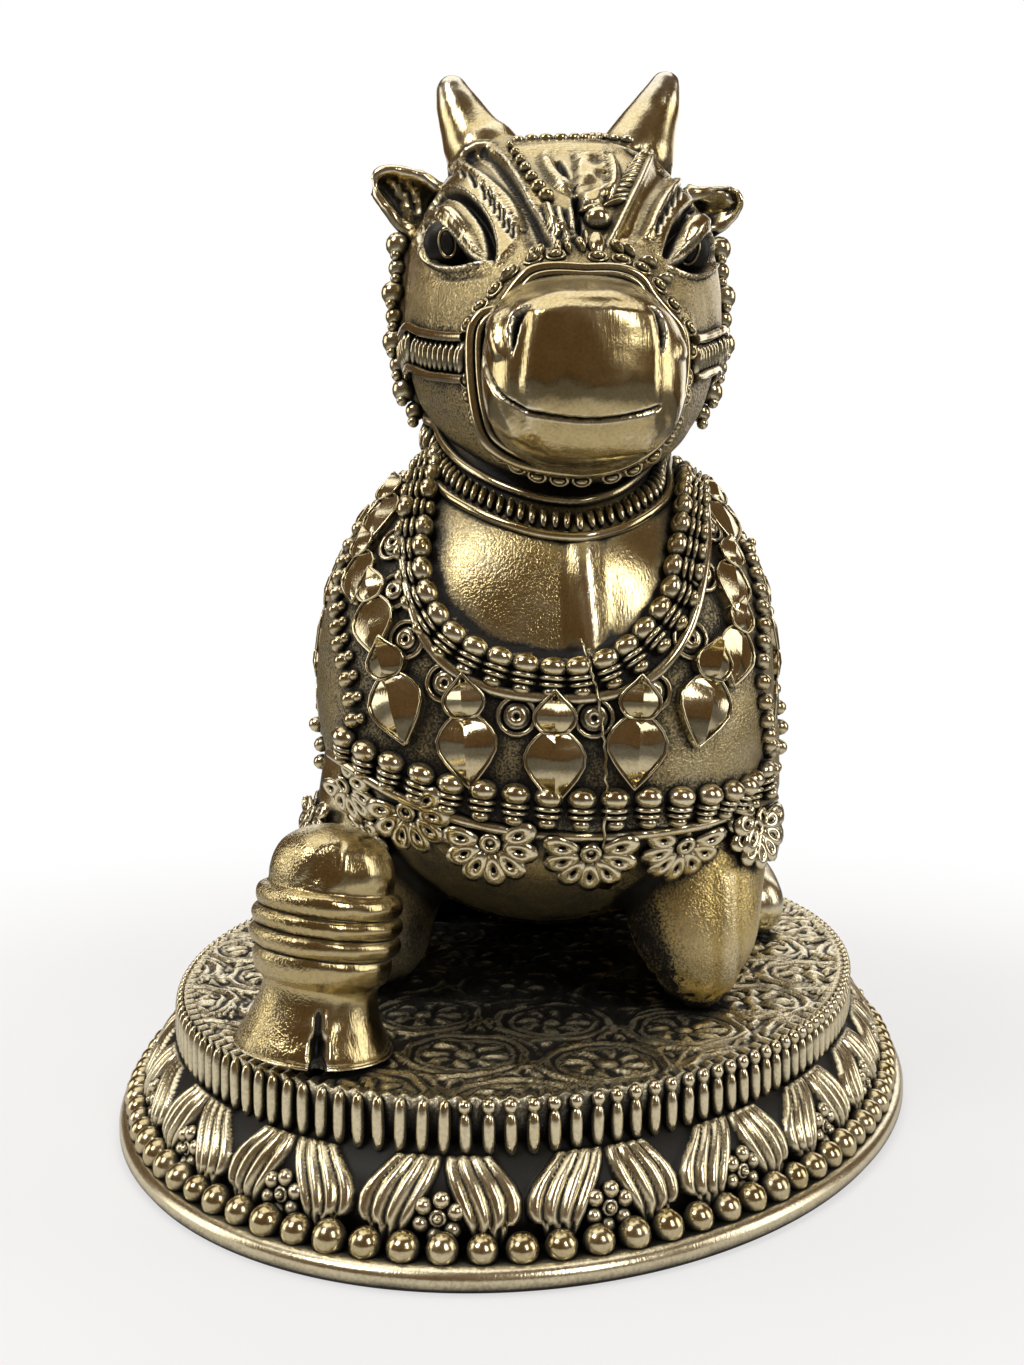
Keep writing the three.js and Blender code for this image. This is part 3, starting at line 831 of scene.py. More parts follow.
class NANDI_OT_plate(bpy.types.Operator):
    """Builds the plate under the bull, with its filigree of flower medallions and scrolls"""
    bl_idname = "nandi.plate"
    bl_label = "Plate"

    def execute(self, context):
        sizes = context.scene.nandi_base
        wide, long = sizes.width / 2 / MM - PLATE_INSET, sizes.length / 2 / MM - PLATE_INSET
        bm = bmesh.new()
        bmesh.ops.create_grid(bm, x_segments=216, y_segments=300, size=1)
        for v in bm.verts:
            x, y = v.co.x, v.co.y
            across, back = wide * x * math.sqrt(1 - y * y / 2), long * y * math.sqrt(1 - x * x / 2)
            v.co = Vector((across, back, PLATE_TOP))
        rim = [e for e in bm.edges if e.is_boundary]
        side = bmesh.ops.extrude_edge_only(bm, edges=rim)["geom"]
        low = [g for g in side if isinstance(g, bmesh.types.BMVert)]
        for v in low:
            v.co = Vector((v.co.x * 0.985, v.co.y * 0.985, PLATE_UNDERSIDE))
        bmesh.ops.edgeloop_fill(bm, edges=[g for g in side if isinstance(g, bmesh.types.BMEdge) and g.is_boundary])
        mesh = baked(bm, "plate")
        points, _ = read(mesh)
        top = points[:, 2] > PLATE_TOP - 0.01
        x, y = points[:, 0], points[:, 1]
        edge = 1 - np.sqrt((x / wide) ** 2 + (y / long) ** 2)
        border = np.clip(edge * (wide + long) / 2, 0, 50)
        # Medallions in staggered rows, drawn a little askew: a flower in two rings, scrolls between them.
        flowers = np.array([
            ((col + (0.5 if row % 2 else 0)) * MEDALLION_PITCH + 1.5, row * MEDALLION_PITCH * 0.87 + 2)
            for row in range(-6, 7) for col in range(-4, 5)])
        flat = points * [1, 1, 0]
        rough = wobble(flat, 1.6)
        wx = x + 0.55 * wobble(flat, 3.2, 11) + 0.25 * rough
        wy = y + 0.55 * wobble(flat, 3.2, 23)
        gaps = np.hypot(wx[:, None] - flowers[None, :, 0], wy[:, None] - flowers[None, :, 1])
        nearest = gaps.argmin(1)
        r = gaps[np.arange(len(x)), nearest]
        angle = np.arctan2(wy - flowers[nearest, 1], wx - flowers[nearest, 0])
        ring = np.exp(-((r - 5.3) / 0.42) ** 2) + 0.85 * np.exp(-((r - 4.15) / 0.27) ** 2)
        leaves = np.clip(np.cos(angle * 8 + np.sin(r * 1.3) * 0.8), -1, 1)
        leaf_rise = np.sin(np.pi * np.clip((r - 1.3) / 2.6, 0, 1)) ** 0.5
        leaves = np.where((r > 1.4) & (r < 3.8), np.clip(leaves * 1.8 + 0.4, 0, 1) * leaf_rise, 0)
        boss = np.clip(1.2 - (r / 1.05) ** 2, 0, 1)
        swirl = np.sin(angle * 5 + r * 2.1) * np.cos(r * 2.6 + rough * 2)
        scroll = np.where(r > 5.6, np.clip(swirl * 2.2, 0, 1), 0)
        height = np.maximum.reduce([ring, leaves, boss, scroll * 0.95]) + rough * 0.3
        # The rim is a rope with as many turns as there are reeds.
        rope = 0.65 + 0.35 * np.cos(np.unwrap(np.arctan2(y / long, x / wide)) * sizes.reeds)
        height = np.where(border < 1.1, rope, height)
        points[:, 2] += np.where(top, (np.clip(height, -0.3, 1.2) - 1.0) * sizes.relief / MM, 0)
        write(mesh, points)
        # Bright towards the rim and on the right as painted light, black under the bull as its painted shadow; the
        # low relief takes the dark wash.
        shade = np.clip((34 + y) / 8, 0, 1) * np.clip((24 - np.abs(x - 3)) / 6, 0, 1)
        rim_light = np.clip(1 - border / 11, 0, 1) + 0.6 * np.clip((x - 14) / 8, 0, 1)
        uneven = 0.45 * wobble(flat, 2.6, 4)
        wash_and_shade = np.where(top, np.clip(1.0 - height * 0.9 + uneven - 0.9 * rim_light + 0.7 * shade, 0, 1.4), 0.8)
        metal = gold("plate gold", wash=0.55, wear=0.8, polish=0.65, brushed=0.3, reach=1.4)
        finished("base_plate", mesh, metal, grain=np.full(len(points), 0.3), wash_and_shade=wash_and_shade, hollow=0.9)
        return {"FINISHED"}


# Bull. Its frame is turned with it: x to its left side, y to its back, z up from its seat.

TORSO = [
    (0, -37.5, 26), (0, -36.8, 26, 8.5, 10, 8), (0, -35, 27, 14.5, 17, 13), (0, -31, 29, 19, 21, 18),
    (0, -24, 31.5, 22.0, 24, 24), (0, -13, 32.5, 22.9, 25.5, 28), (0, 2, 31.5, 23.4, 25, 30),
    (0, 18, 29.5, 23.8, 23.5, 29.5), (0, 32, 26, 22.4, 20.5, 26), (0, 41, 23, 17.5, 16, 23), (0, 46, 21),
]
NECK = [
    (0, -17, 14), (0, -18, 20, 13, 14), (0, -18, 32, 15.5, 17.6, 15), (0, -17.5, 40, 16.2, 17, 16),
    (0, -17, 47, 14.6, 15, 16), (0.3, -16, 54, 12.2, 13.4, 17), (0.6, -15, 62, 11.4, 12, 13), (0, -14, 70, 6, 6, 7),
]
HEM = [(-21, 25), (-13, 21.7), (-4.4, 19.2), (4.8, 18.6), (14.2, 19), (22, 20)]
THROAT = [
    (13.4, 70), (13.4, 52), (12.4, 42), (8.8, 36), (2.6, 34.2), (-4.6, 35.4), (-9, 39), (-11, 45), (-11, 55),
    (-11, 70),
]
# Where the picture shows the dark under the chest, as points of the picture: painted shade.
UNDER_CHEST = [
    (370, 830), (430, 845), (500, 872), (600, 888), (650, 900), (664, 950), (686, 1010), (690, 1060), (360, 1060),
]
MANTLE_BACK, SADDLE_FRONT, SADDLE_BACK, SADDLE_LOW = -10, -7, 29, 24
LIMBS = [  # the nape, then the left and the right foreleg, each its upper part and what is folded under it
    [(0.5, -7, 68, 7), (0.2, -3, 61, 9.6)],
    [(15.6, -12, 26, 8.6), (15, -20, 18, 8.2), (15, -24.6, 10.6, 7), (15.2, -26.6, 5.8, 5.9),
    (15.4, -27.2, 3.0, 3.9), (15.5, -26.8, 1.4, 2.2)],
    [(15.4, -25, 4, 4.4), (17, -12, 4, 4.2), (18, -3, 3.6, 4)],
    [(-16, -10, 24, 8.5), (-17, -19, 13, 7.4), (-17, -23, 6, 5.6)],
    [(-17, -21, 4.4, 4.6), (-19, -10, 4, 4.2), (-20, -2, 3.6, 4)],
]
TAIL = [(0, 43, 30, 2.2), (-4, 45, 22, 1.9), (-9, 44.6, 14, 1.7), (-13, 42, 8, 2.4), (-14, 40, 3, 1.6)]
FOLDS = (  # lines raised in the hide, as points of the picture, with their width and height: keel, its edge, leg
    ([(583, 532), (586, 580), (592, 640), (594, 672)], 2.2, 0.6),
    ([(588, 600), (596, 690), (604, 740), (604, 800)], 0.9, 0.35),
    ([(728, 880), (730, 940), (728, 985)], 1.6, 0.35),
)


class NANDI_OT_body(bpy.types.Operator):
    """Builds the bull's trunk, neck, hump, folded legs and tail, with the cloth raised on them"""
    bl_idname = "nandi.body"
    bl_label = "Body"

    def execute(self, context):
        sizes = context.scene.nandi_bull
        bm = bmesh.new()
        lofted(bm, TORSO, 40)
        lofted(bm, NECK, 32, Vector((0, -1, 0)))
        ball(bm, (0, 4, 55), (10.5, 13, 11), 24, 16)
        for stations in LIMBS:
            limb(bm, stations)
        for hand in (-1, 1):
            ball(bm, (hand * 17.6, 22, 13), (10.8, 18, 17.5), 28, 20)
            limb(bm, [(hand * 20, 32, 5, 5), (hand * 23.5, 14, 4.4, 4.4), (hand * 24, 3, 3.8, 4)])
        limb(bm, TAIL, 16)
        mesh = fused(bm, sizes.body_cell / MM, 14)
        points, normals = read(mesh)
        pairs = edges_of(mesh)
        x, y, z = points.T
        throat = within(x, z, THROAT) & (y < -12)
        hem = np.interp(x, *zip(*HEM))
        mantle = (y < MANTLE_BACK) & (z > hem) & ~throat & (z < 66)
        saddle = (y > SADDLE_FRONT) & (y < SADDLE_BACK) & (z > SADDLE_LOW)
        cloth = spread((mantle | saddle).astype(float), pairs, 1)
        tree = tree_of(mesh)
        points = points + normals * (cloth * sizes.cloth / MM)[:, None]
        for pixels, width, height in FOLDS:
            points = tooled(points, normals, draped(tree, pixels), width, height)
        # The left foreleg's gilt, pitted end, with a ragged upper edge.
        hoof = np.clip((7.5 + (y + 27) * 0.5 + 2.2 * wobble(points, 2.4, 9) - z - (x - 12) * 0.35) / 2, 0, 1)
        hoof = hoof * np.clip((-18 - y) / 3, 0, 1) * (x > 5)
        points += normals * ((wobble(points, 1.2) * 0.24 + wobble(points, 0.75, 5) * 0.2) * hoof)[:, None]
        points[:, 2] = np.maximum(points[:, 2], 0.0)
        write(mesh, points)
        grain = spread(cloth, pairs, 2)
        # Darker towards the bottom of the trunk, under the bull: painted shade.
        under = np.clip((9 - z) / 8, 0, 1) * np.clip(1.4 - np.abs(x) / 12, 0, 1) * (y > -36)
        # The cloth's lower right gets less dark wash: a painted highlight.
        rubbed = np.clip((x - 6) / 3, 0, 1) * np.clip((34 - z) / 3, 0, 1)
        leg = np.clip((-14 - y) / 3, 0, 1) * np.clip((21 - z) / 4, 0, 1) * (x > 7) * (1 - hoof)
        put(mesh, "bare", np.maximum(hoof * 0.9, leg * np.clip((z - 4) / 4, 0, 1) * 0.45))
        # The dark under the chest, where the picture shows it: painted shade.
        shown, front = facing(points, normals, BULL)
        shade = (within(shown[:, 0], shown[:, 1], UNDER_CHEST) & front & ~(hem < z)).astype(float)
        shade = spread(shade, pairs, 4)
        # The chest's left side is darker: painted shade.
        chest = throat * np.clip((1 - x) / 6, 0, 1)
        # The foreleg is darker, most on its inner side: painted shade.
        leg_shade = leg * (0.3 + 0.5 * np.clip((14 - x) / 3, 0, 1))
        wash_and_shade = np.clip(grain * (0.5 - 0.4 * rubbed) + under * 0.8 + shade * 0.9 + chest * 0.35 + leg_shade, 0, 1)
        stipple = grain * 0.7 + hoof + leg * 0.5 + 0.3 * throat * (x < 2)
        gilt = context.scene.nandi_finish.gilt
        metal = gold("body gold", wash=0.5, wear=0.5, polish=0.64, brushed=0.4, reach=2.4, tips=gilt)
        finished("bull_body", mesh, metal, BULL, grain=stipple, wash_and_shade=wash_and_shade)
        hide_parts("bull")
        return {"FINISHED"}


def bead_unit(bm, at, out, along, size):
    """A large bead over two rings and a small bead, in a row across the band."""
    def make(small):
        ball(small, (0, 0.45, 0.85), (1.2, 1.05, 0.85), 10, 7)
        ball(small, (0, 0.35, -0.05), (1.24, 0.98, 0.3), 10, 5)
        ball(small, (0, 0.3, -0.6), (1.16, 0.92, 0.28), 10, 5)
        ball(small, (0, 0.3, -1.2), (0.8, 0.78, 0.5), 10, 6)

    across = out.cross(along).normalized()
    if across.z < 0:
        across = -across
    added(bm, kept("bead unit", make), standing(at, across, out) @ Matrix.Scale(size, 4))


def outline_ring(bm, outline, scale, lift, ridge=None, count=20):
    """One ring of a pendant: an outline of [height, half width], drawn in by a scale and lifted."""
    heights, widths = zip(*outline)
    middle, half = (heights[0] + heights[-1]) / 2, (heights[-1] - heights[0]) / 2
    ring = bmesh.ops.create_circle(bm, radius=1, segments=count)["verts"]
    for i, v in enumerate(ring):
        a = 2 * math.pi * i / count
        tall = middle + half * math.sin(a)
        across = math.cos(a)
        wide = float(np.interp(tall, heights, widths)) * math.copysign(1, across) if abs(across) > 1e-6 else 0
        share = scale if isinstance(scale, tuple) else (scale, scale)
        peak = ridge * (1 - abs(math.sin(a))) if ridge else 0
        v.co = Vector((wide * share[0], middle + (tall - middle) * share[1], lift + peak))
    return ring


DROP = [
    (-4.5, 0), (-3.9, 0.55), (-3.0, 1.35), (-2.0, 2.08), (-1.2, 2.36), (-0.5, 2.25), (0.3, 1.7), (0.9, 1.05),
    (1.15, 0.7),
]
BUD = [(0.75, 0.7), (1.1, 1.2), (1.7, 1.62), (2.3, 1.6), (2.9, 1.15), (3.5, 0.5), (4.1, 0)]


def creased(bm, angle):
    """Keeps the folds of a small cut form crisp, but not those that run into its middle ridge."""
    bmesh.ops.recalc_face_normals(bm, faces=bm.faces)
    for e in bm.edges:
        a, b = (abs(v.co.x) < 0.02 for v in e.verts)
        e.smooth = e.calc_face_angle(0) < angle or a != b


def pendant_mesh(ridge):
    """A double drop: a bud over a leaf, each cut to a ridge inside a raised rim."""
    bm = bmesh.new()
    for outline, lift in ((DROP, 0), (BUD, 0.15)):
        walls = ((1.0, -0.6), (1.0, 0.4 + lift), (0.93, 0.42 + lift))
        rings = [outline_ring(bm, outline, scale, height, count=16) for scale, height in walls]
        bridged(bm, rings + [outline_ring(bm, outline, (0.0, 0.8), ridge + lift, 0.2, count=16)])
    bmesh.ops.remove_doubles(bm, verts=bm.verts, dist=0.01)
    bmesh.ops.holes_fill(bm, edges=[e for e in bm.edges if e.is_boundary], sides=0)
    creased(bm, 0.3)
    for outline, lift in ((DROP, 0), (BUD, 0.15)):
        loop = bmesh.new()
        rim = [v.co.copy() for v in outline_ring(loop, outline, 0.98, 0.48 + lift, count=20)]
        loop.free()
        cord(bm, rim, 0.13, closed=True, sides=1)
    return baked(bm, "pendant", recalc=False)


def ring_mesh():
    """A round boss: a raised hoop, a smaller hoop in it and a pit."""
    bm = bmesh.new()
    hoop(bm, Matrix.Translation((0, 0, 0.2)), 1.36, 0.2, 18, 6)
    hoop(bm, Matrix.Translation((0, 0, 0.3)), 0.5, 0.34, 14, 6)
    ball(bm, (0, 0, -0.1), (1.3, 1.3, 0.3), 14, 4)
    return baked(bm, "ring")


ROSETTE_FAN, ROSETTE_PETALS = 104, 7  # degrees to each side of the middle petal, and how many there are


def rosette_mesh():
    """A fringe flower: looped petals that widen outwards, fanned round a ring; they point along -Y."""
    bm = bmesh.new()
    hoop(bm, Matrix.Translation((0, 0, 0.75)), 0.62, 0.3, 14, 6)
    ball(bm, (0, 0, 0.4), (0.6, 0.6, 0.35), 10, 5)

    def petal_loop(small):
        hoop(small, Matrix.Translation((0, -2.4, 0.45)), 0.6, 0.46, 14, 6, tall=1.6, flat=0.75)
        for v in small.verts:
            v.co.x *= 0.6 + 0.17 * (-v.co.y - 0.7)
            v.co.z += 0.2 * math.sin(math.pi * min(max((-v.co.y - 0.6) / 3.4, 0), 1))

    loop = kept("petal loop", petal_loop)
    for k in range(ROSETTE_PETALS):
        turn = ROSETTE_FAN * (2 * k / (ROSETTE_PETALS - 1) - 1)
        added(bm, loop, Matrix.Rotation(math.radians(turn), 4, "Z"))
    # The ground behind the petals, drawn in outside their fan.
    verts = bmesh.ops.create_circle(bm, cap_ends=True, radius=3.0, segments=24)["verts"]
    raised = bmesh.ops.extrude_face_region(bm, geom=list({f for v in verts for f in v.link_faces}))["geom"]
    raised = [g for g in raised if isinstance(g, bmesh.types.BMVert)]
    bmesh.ops.translate(bm, verts=raised, vec=(0, 0, 0.3))
    for v in verts + raised:
        if abs(math.atan2(v.co.x, -v.co.y)) > math.radians(ROSETTE_FAN):
            v.co.x *= 0.35
            v.co.y *= 0.35
    return baked(bm, "rosette")


# Places of the cloth's ornaments, as points of the picture.
NECK_BEADS = [
    (437, 452), (424, 480), (416, 520), (414, 560), (421, 598), (438, 630), (464, 652), (497, 667), (530, 675),
    (565, 678), (600, 672), (636, 652), (662, 624), (678, 594), (686, 550), (690, 505), (690, 478),
]
NECK_CORD = [
    (428, 462), (411, 500), (405, 540), (409, 585), (424, 636), (450, 668), (487, 688), (530, 697), (575, 699),
    (620, 692), (655, 674), (682, 640), (697, 598), (704, 550), (702, 500), (700, 478),
]
HEM_BEADS = [
    (340, 738), (362, 756), (386, 768), (412, 779), (440, 790), (470, 797), (505, 802), (540, 806), (575, 808),
    (610, 808), (650, 806), (688, 804), (722, 798), (750, 788), (768, 776),
]
HEM_CORD = [
    (334, 752), (360, 770), (396, 792), (440, 811), (490, 825), (545, 833), (600, 835), (650, 831), (700, 822),
    (745, 808), (775, 795),
]
PENDANTS = [
    (395, 688, 18), (467, 728, 4), (555, 744, 0), (637, 729, -4), (705, 690, -16), (376, 610, 20), (364, 565, 25),
    (388, 508, 22), (734, 640, -24), (728, 575, -26), (716, 512, -22),
]
RINGS = [
    (446, 683), (517, 716), (594, 718), (651, 692), (408, 640), (397, 592), (396, 545), (689, 640), (700, 575),
    (706, 528),
]
COLUMNS = (
    [(357, 730), (355, 712), (352, 690), (347, 665), (342, 640), (340, 615), (342, 590), (346, 568), (354, 548),
    (364, 530)],
    [(770, 780), (766, 760), (764, 735), (761, 705), (758, 675), (758, 650), (759, 625), (756, 600), (751, 575),
    (743, 550), (733, 528)],
)
ROSETTES = [(352, 778, 30), (412, 806, 14), (492, 838, 4), (590, 846, 0), (680, 838, -3), (752, 818, -14)]
SEAM = [(584, 640), (592, 672), (598, 700), (603, 740), (606, 790), (602, 835), (604, 868)]
CUT_PENDANTS_BELOW = 670  # the front row, lower in the picture than this, is cut to a higher ridge


class NANDI_OT_ornament(bpy.types.Operator):
    """Builds the cloth's beads, cords, pendants, rings and fringe flowers"""
    bl_idname = "nandi.ornament"
    bl_label = "Cloth ornament"

    def execute(self, context):
        sizes = context.scene.nandi_bull
        thick, bead = sizes.cord / MM, sizes.bead / MM
        tree = skin_of("bull_body")
        beads, bosses, drops = bmesh.new(), bmesh.new(), bmesh.new()
        pendant, flat_pendant, ring, rosette = pendant_mesh(1.2), pendant_mesh(0.75), ring_mesh(), rosette_mesh()

        neck = whole(seen(tree, u, v) for u, v in spline(NECK_BEADS, 12))
        for at, out, along in evenly(neck, 2.55):
            bead_unit(beads, at, out, along, bead)
        cord(bosses, draped(tree, NECK_CORD, lift=thick * 0.6), thick)
        hem = whole(seen(tree, u, v) for u, v in spline(HEM_BEADS, 12))
        for at, out, along in evenly(hem, 3.0):
            bead_unit(beads, at, out, along, bead * 1.04)
        cord(bosses, draped(tree, HEM_CORD, lift=thick * 0.6), thick * 0.95)

        def plant(template, hit, lean=0, scale=1.0, lift=0.0):
            """Sets an ornament on the cloth, unless the ray missed it."""
            for at, out in whole([hit]):
                turn = standing(at + out * lift, out) @ Matrix.Rotation(math.radians(lean), 4, "Z")
                target = drops if template in (pendant, flat_pendant) else bosses
                added(target, template, turn @ Matrix.Scale(scale, 4))

        for u, v, lean in PENDANTS:
            template, scale = (pendant, 1.22) if v > CUT_PENDANTS_BELOW else (flat_pendant, 1.08)
            plant(template, seen(tree, u, v, 1.6), lean, scale, 0.1)
        for u, v in RINGS:
            plant(ring, seen(tree, u, v, 1.0), 0, 1.25)
        for u, v, lean in ROSETTES:
            plant(rosette, seen(tree, u, v, 1.6), lean, 1.14, 0.25)

        for column in COLUMNS:
            hits = whole(seen(tree, u, v) for u, v in spline(column, 10))
            for at, out, along in evenly(hits, 1.95):
                turn = standing(at + out * 0.35, out, along)
                ball(beads, turn, (bead * 0.82, bead * 0.72, bead * 0.8), 10, 7)
                ball(beads, turn @ Matrix.Translation((bead * 0.9, 0, -0.1)), (bead * 0.5,) * 3, 8, 6)

        # The mould seam down the front, over the cloth's ornaments.
        seam = draped(tree, SEAM, 8, 2, 0.95)
        seam = [p + Vector((0.25 * noise.noise(p * 1.7), -0.3 * noise.noise(p * 1.1) + 0.1, 0)) for p in seam]
        cord(bosses, seam, 0.14, sides=1)

        # Down the mantle's back edge, along the saddle's edges and over its field, plainer.
        for hand in (-1, 1):
            edge = whole(sideways(tree, hand, MANTLE_BACK - 1.2, z) for z in np.arange(21, 56, 0.5))
            for at, out, _ in evenly(edge, 2.1):
                ball(beads, standing(at + out * 0.4, out), (bead * 0.8, bead * 0.8, bead * 0.9), 10, 6)
            front = whole(sideways(tree, hand, SADDLE_FRONT + 0.6, z) for z in np.arange(24, 60, 0.5))
            back = whole(sideways(tree, hand, SADDLE_BACK - 0.6, z) for z in np.arange(24, 50, 0.5))
            lengthwise = np.arange(SADDLE_FRONT + 0.5, SADDLE_BACK, 0.5)
            low = whole(sideways(tree, hand, y, SADDLE_LOW + 0.6) for y in lengthwise)
            for line in (front, back, low):
                cord(bosses, eased(line, 2, thick * 0.5), thick)
            lengthwise = np.arange(SADDLE_FRONT + 2, SADDLE_BACK - 2, 0.5)
            beaded = whole(sideways(tree, hand, y, SADDLE_LOW + 3.6) for y in lengthwise)
            for at, out, along in evenly(beaded, 3.0):
                bead_unit(beads, at, out, along, bead)
            for y in np.arange(SADDLE_FRONT + 3.2, SADDLE_BACK - 1, 7.1):
                plant(rosette, sideways(tree, hand, y, SADDLE_LOW - 1.0, 1.5), lift=0.2)
            # Two rows of pendants, the upper between the lower, with rings among them.
            pitch = 8.2
            for y in np.arange(SADDLE_FRONT + 6, SADDLE_BACK - 4, pitch):
                between = y + pitch / 2
                for at_y, z in ((y, 35), (between, 44.5)):
                    if at_y < SADDLE_BACK - 4:
                        plant(flat_pendant, sideways(tree, hand, at_y, z, 1.5))
                if between < SADDLE_BACK - 3:
                    plant(ring, sideways(tree, hand, between, 37.5, 1.2), scale=1.1)
            for z in (31, 38.5, 46):
                plant(flat_pendant, sideways(tree, hand, MANTLE_BACK - 6.5, z, 1.5))
            for y in (-27, -20.5, -14.5):
                plant(rosette, sideways(tree, hand, y, 17.5, 1.5), lift=0.2)

        metal = gold("bead gold", wash=0.48, wear=0.6, polish=0.74)
        finished("cloth_beads", beads, metal, BULL, hollow=0.12)
        metal = gold("boss gold", wash=0.52, wear=0.6, polish=0.8, reach=2.0)
        finished("cloth_bosses", bosses, metal, BULL, hollow=0.26)
        metal = gold("pendant gold", wash=0.36, wear=0.85, polish=0.88, brushed=0.1, reach=0.9)
        finished("cloth_pendants", drops, metal, BULL, hollow=0.0)
        for template in (pendant, flat_pendant, ring, rosette):
            bpy.data.meshes.remove(template)
        return {"FINISHED"}


# Head, in its own frame, turned a little further than the body.

SKULL = [
    (0, -2, 69), (0, -4.5, 69, 9, 11, 8), (0, -9, 68.6, 14.8, 17.8, 12.8), (0, -14, 68.2, 17.4, 20, 15.6),
    (0, -20, 67.6, 17.4, 18.6, 15.8), (0, -26, 65.8, 15.6, 15.6, 14.6), (0, -31, 63.0, 12.4, 12.0, 12.2),
    (0, -35, 61, 9.2, 9.0, 9.9), (0, -38, 60, 7, 7, 7.6),
]
MUZZLE = [
    (0, -29, 61), (0, -30, 61, 7.6, 7.4, 8.4), (0.1, -34, 60.6, 8.7, 8.9, 8.7), (0.0, -38.5, 59.9, 8.8, 8.1, 8.2),
    (-0.3, -42.5, 59.2, 8.8, 7.3, 7.5), (-0.5, -45.2, 59.0, 8.5, 6.9, 6.9), (-0.5, -47.0, 59.0, 7.8, 6.5, 6.1),
    (-0.5, -48.4, 59.2, 6.6, 5.9, 5.0), (-0.5, -49.3, 59.5, 5.0, 5.1, 4.3), (-0.5, -49.8, 59.7, 3.2, 4.2, 3.7),
    (-0.5, -50.0, 59.8, 1.6, 3.0, 3.0), (-0.5, -50.05, 59.8),
]


HORN = [
    (6.7, -13, 82, 5.2), (8.1, -12.8, 86.4, 4.4), (9.1, -12.5, 89.2, 3.5), (10.0, -12.2, 91.2, 2.85),
    (10.8, -12.1, 93.0, 2.35), (11.3, -12, 94.4, 1.8),
]
HORN_DROP = {-1: 0.9, 1: 0.1}  # how much lower the upper part of each horn ends
EARS = (  # the upper edge, the lower edge and the cup's depth
    ([(-10.5, -12, 81.2), (-12.6, -12.6, 82.4), (-14.4, -13.4, 83.9), (-16.5, -14, 84.6), (-18.4, -14.2, 84.7),
    (-19.7, -14, 83.9)],
     [(-10.5, -13, 78.0), (-12.6, -14, 77.8), (-14.6, -14.6, 77.8), (-16.3, -14.8, 78.5), (-17.9, -14.6, 80.7),
     (-19.4, -14, 83.0)], 2.6),
    ([(10.5, -12, 81.0), (12.8, -12.6, 82.2), (15.0, -13.4, 83.0), (17.0, -14.2, 83.2), (18.6, -14.8, 82.8),
    (19.3, -15, 81.6)],
     [(10.5, -13, 76.6), (12.8, -13.6, 76.8), (15.0, -13.6, 77.6), (16.6, -13.6, 78.6), (18.0, -14, 79.6),
     (19.1, -14.8, 80.8)], 2.2),
)
SLIMMING = [(50, 0), (57, 0.075), (62, 0.085), (70, 0.075), (78, 0.06), (83, 0.05),
    (87, 0)]  # height, share of the width taken off


def carried(points, place):
    """The points moved by a matrix."""
    return points @ np.array(place.to_3x3()).T + np.array(place.translation)


def calmed(bm, verts, rounds):
    """Smooths the vertices where they are."""
    for _ in range(rounds):
        bmesh.ops.smooth_vert(bm, verts=verts, factor=0.5, use_axis_x=True, use_axis_y=True, use_axis_z=True)


def ear(bm, upper, lower, cup):
    """A cupped leaf with a thick rim between an upper and a lower edge, each from the root to the tip."""
    rows = bmesh.ops.create_grid(bm, x_segments=20, y_segments=16, size=0.5)["verts"]
    top, low = spline(upper, 20), spline(lower, 20)
    for v in rows:
        along, across = v.co.x + 0.5, v.co.y + 0.5
        row = int(round(along * (len(top) - 1)))
        here = Vector(top[row]).lerp(Vector(low[row]), across)
        here.y += cup * math.sin(math.pi * across) ** 0.7 * (0.5 + 0.5 * math.sin(math.pi * min(along * 0.9 + 0.05,
            1)))
        v.co = here
    faces = list({f for v in rows for f in v.link_faces})
    bmesh.ops.recalc_face_normals(bm, faces=faces)
    bmesh.ops.solidify(bm, geom=faces, thickness=1.0)
    for edge, thick in ((upper, 0.95), (lower, 0.8)):
        limb(bm, [(*p, thick * (1 - 0.45 * k / (len(edge) - 1))) for k, p in enumerate(edge)], 12)


def facing(points, normals, frame_of):
    """Where each point shows in the picture, and whether it faces the camera."""
    inside = frame_of.inverted()
    at, ahead = np.array(inside @ CAMERA_AT), np.array(inside.to_3x3() @ -CAMERA_BACK)
    right = np.cross(ahead, np.array(inside.to_3x3() @ UP))
    right /= np.linalg.norm(right)
    up = np.cross(right, ahead)
    gap = points - at
    depth = gap @ ahead
    u, v = PHOTO_WIDE / 2 + FOCAL * (gap @ right) / depth, PHOTO_TALL / 2 - FOCAL * (gap @ up) / depth
    shown = np.stack([u, v], 1)
    return shown, (normals * gap).sum(1) / np.linalg.norm(gap, axis=1) < -0.12


class Face:
    """A surface that is carved by lines and outlines drawn on the picture."""

    def __init__(self, mesh, frame_of=BULL):
        self.points, self.normals = read(mesh)
        self.shown, self.front = facing(self.points, self.normals, frame_of)
        self.push, self.cut = np.zeros((2, len(self.points)))

    def raise_by(self, heights):
        self.push += heights
        self.cut = np.maximum(self.cut, -heights)

    def line(self, pixels, width, height, form="round", taper=0.0):
        """A line of a width in pixels, raised by its height in mm, or cut where that is under 0."""
        shape = stroke(self.shown, spline(pixels, 6), width, form, taper, 0.6)
        self.raise_by(np.where(self.front, shape * height, 0))

    def area(self, outline, soft, height):
        """A field in an outline, with an edge that is soft for so many pixels. Returns its share at each point."""
        gap, _ = away(self.shown, outline + outline[:1], soft)
        t = np.clip(gap / soft, 0, 1)
        share = np.where(self.front & within(*self.shown.T, outline), t * t * (3 - 2 * t), 0)
        self.raise_by(share * height)
        return share

    def carved(self):
        """The points, moved by what was carved."""
        return self.points + self.normals * self.push[:, None]


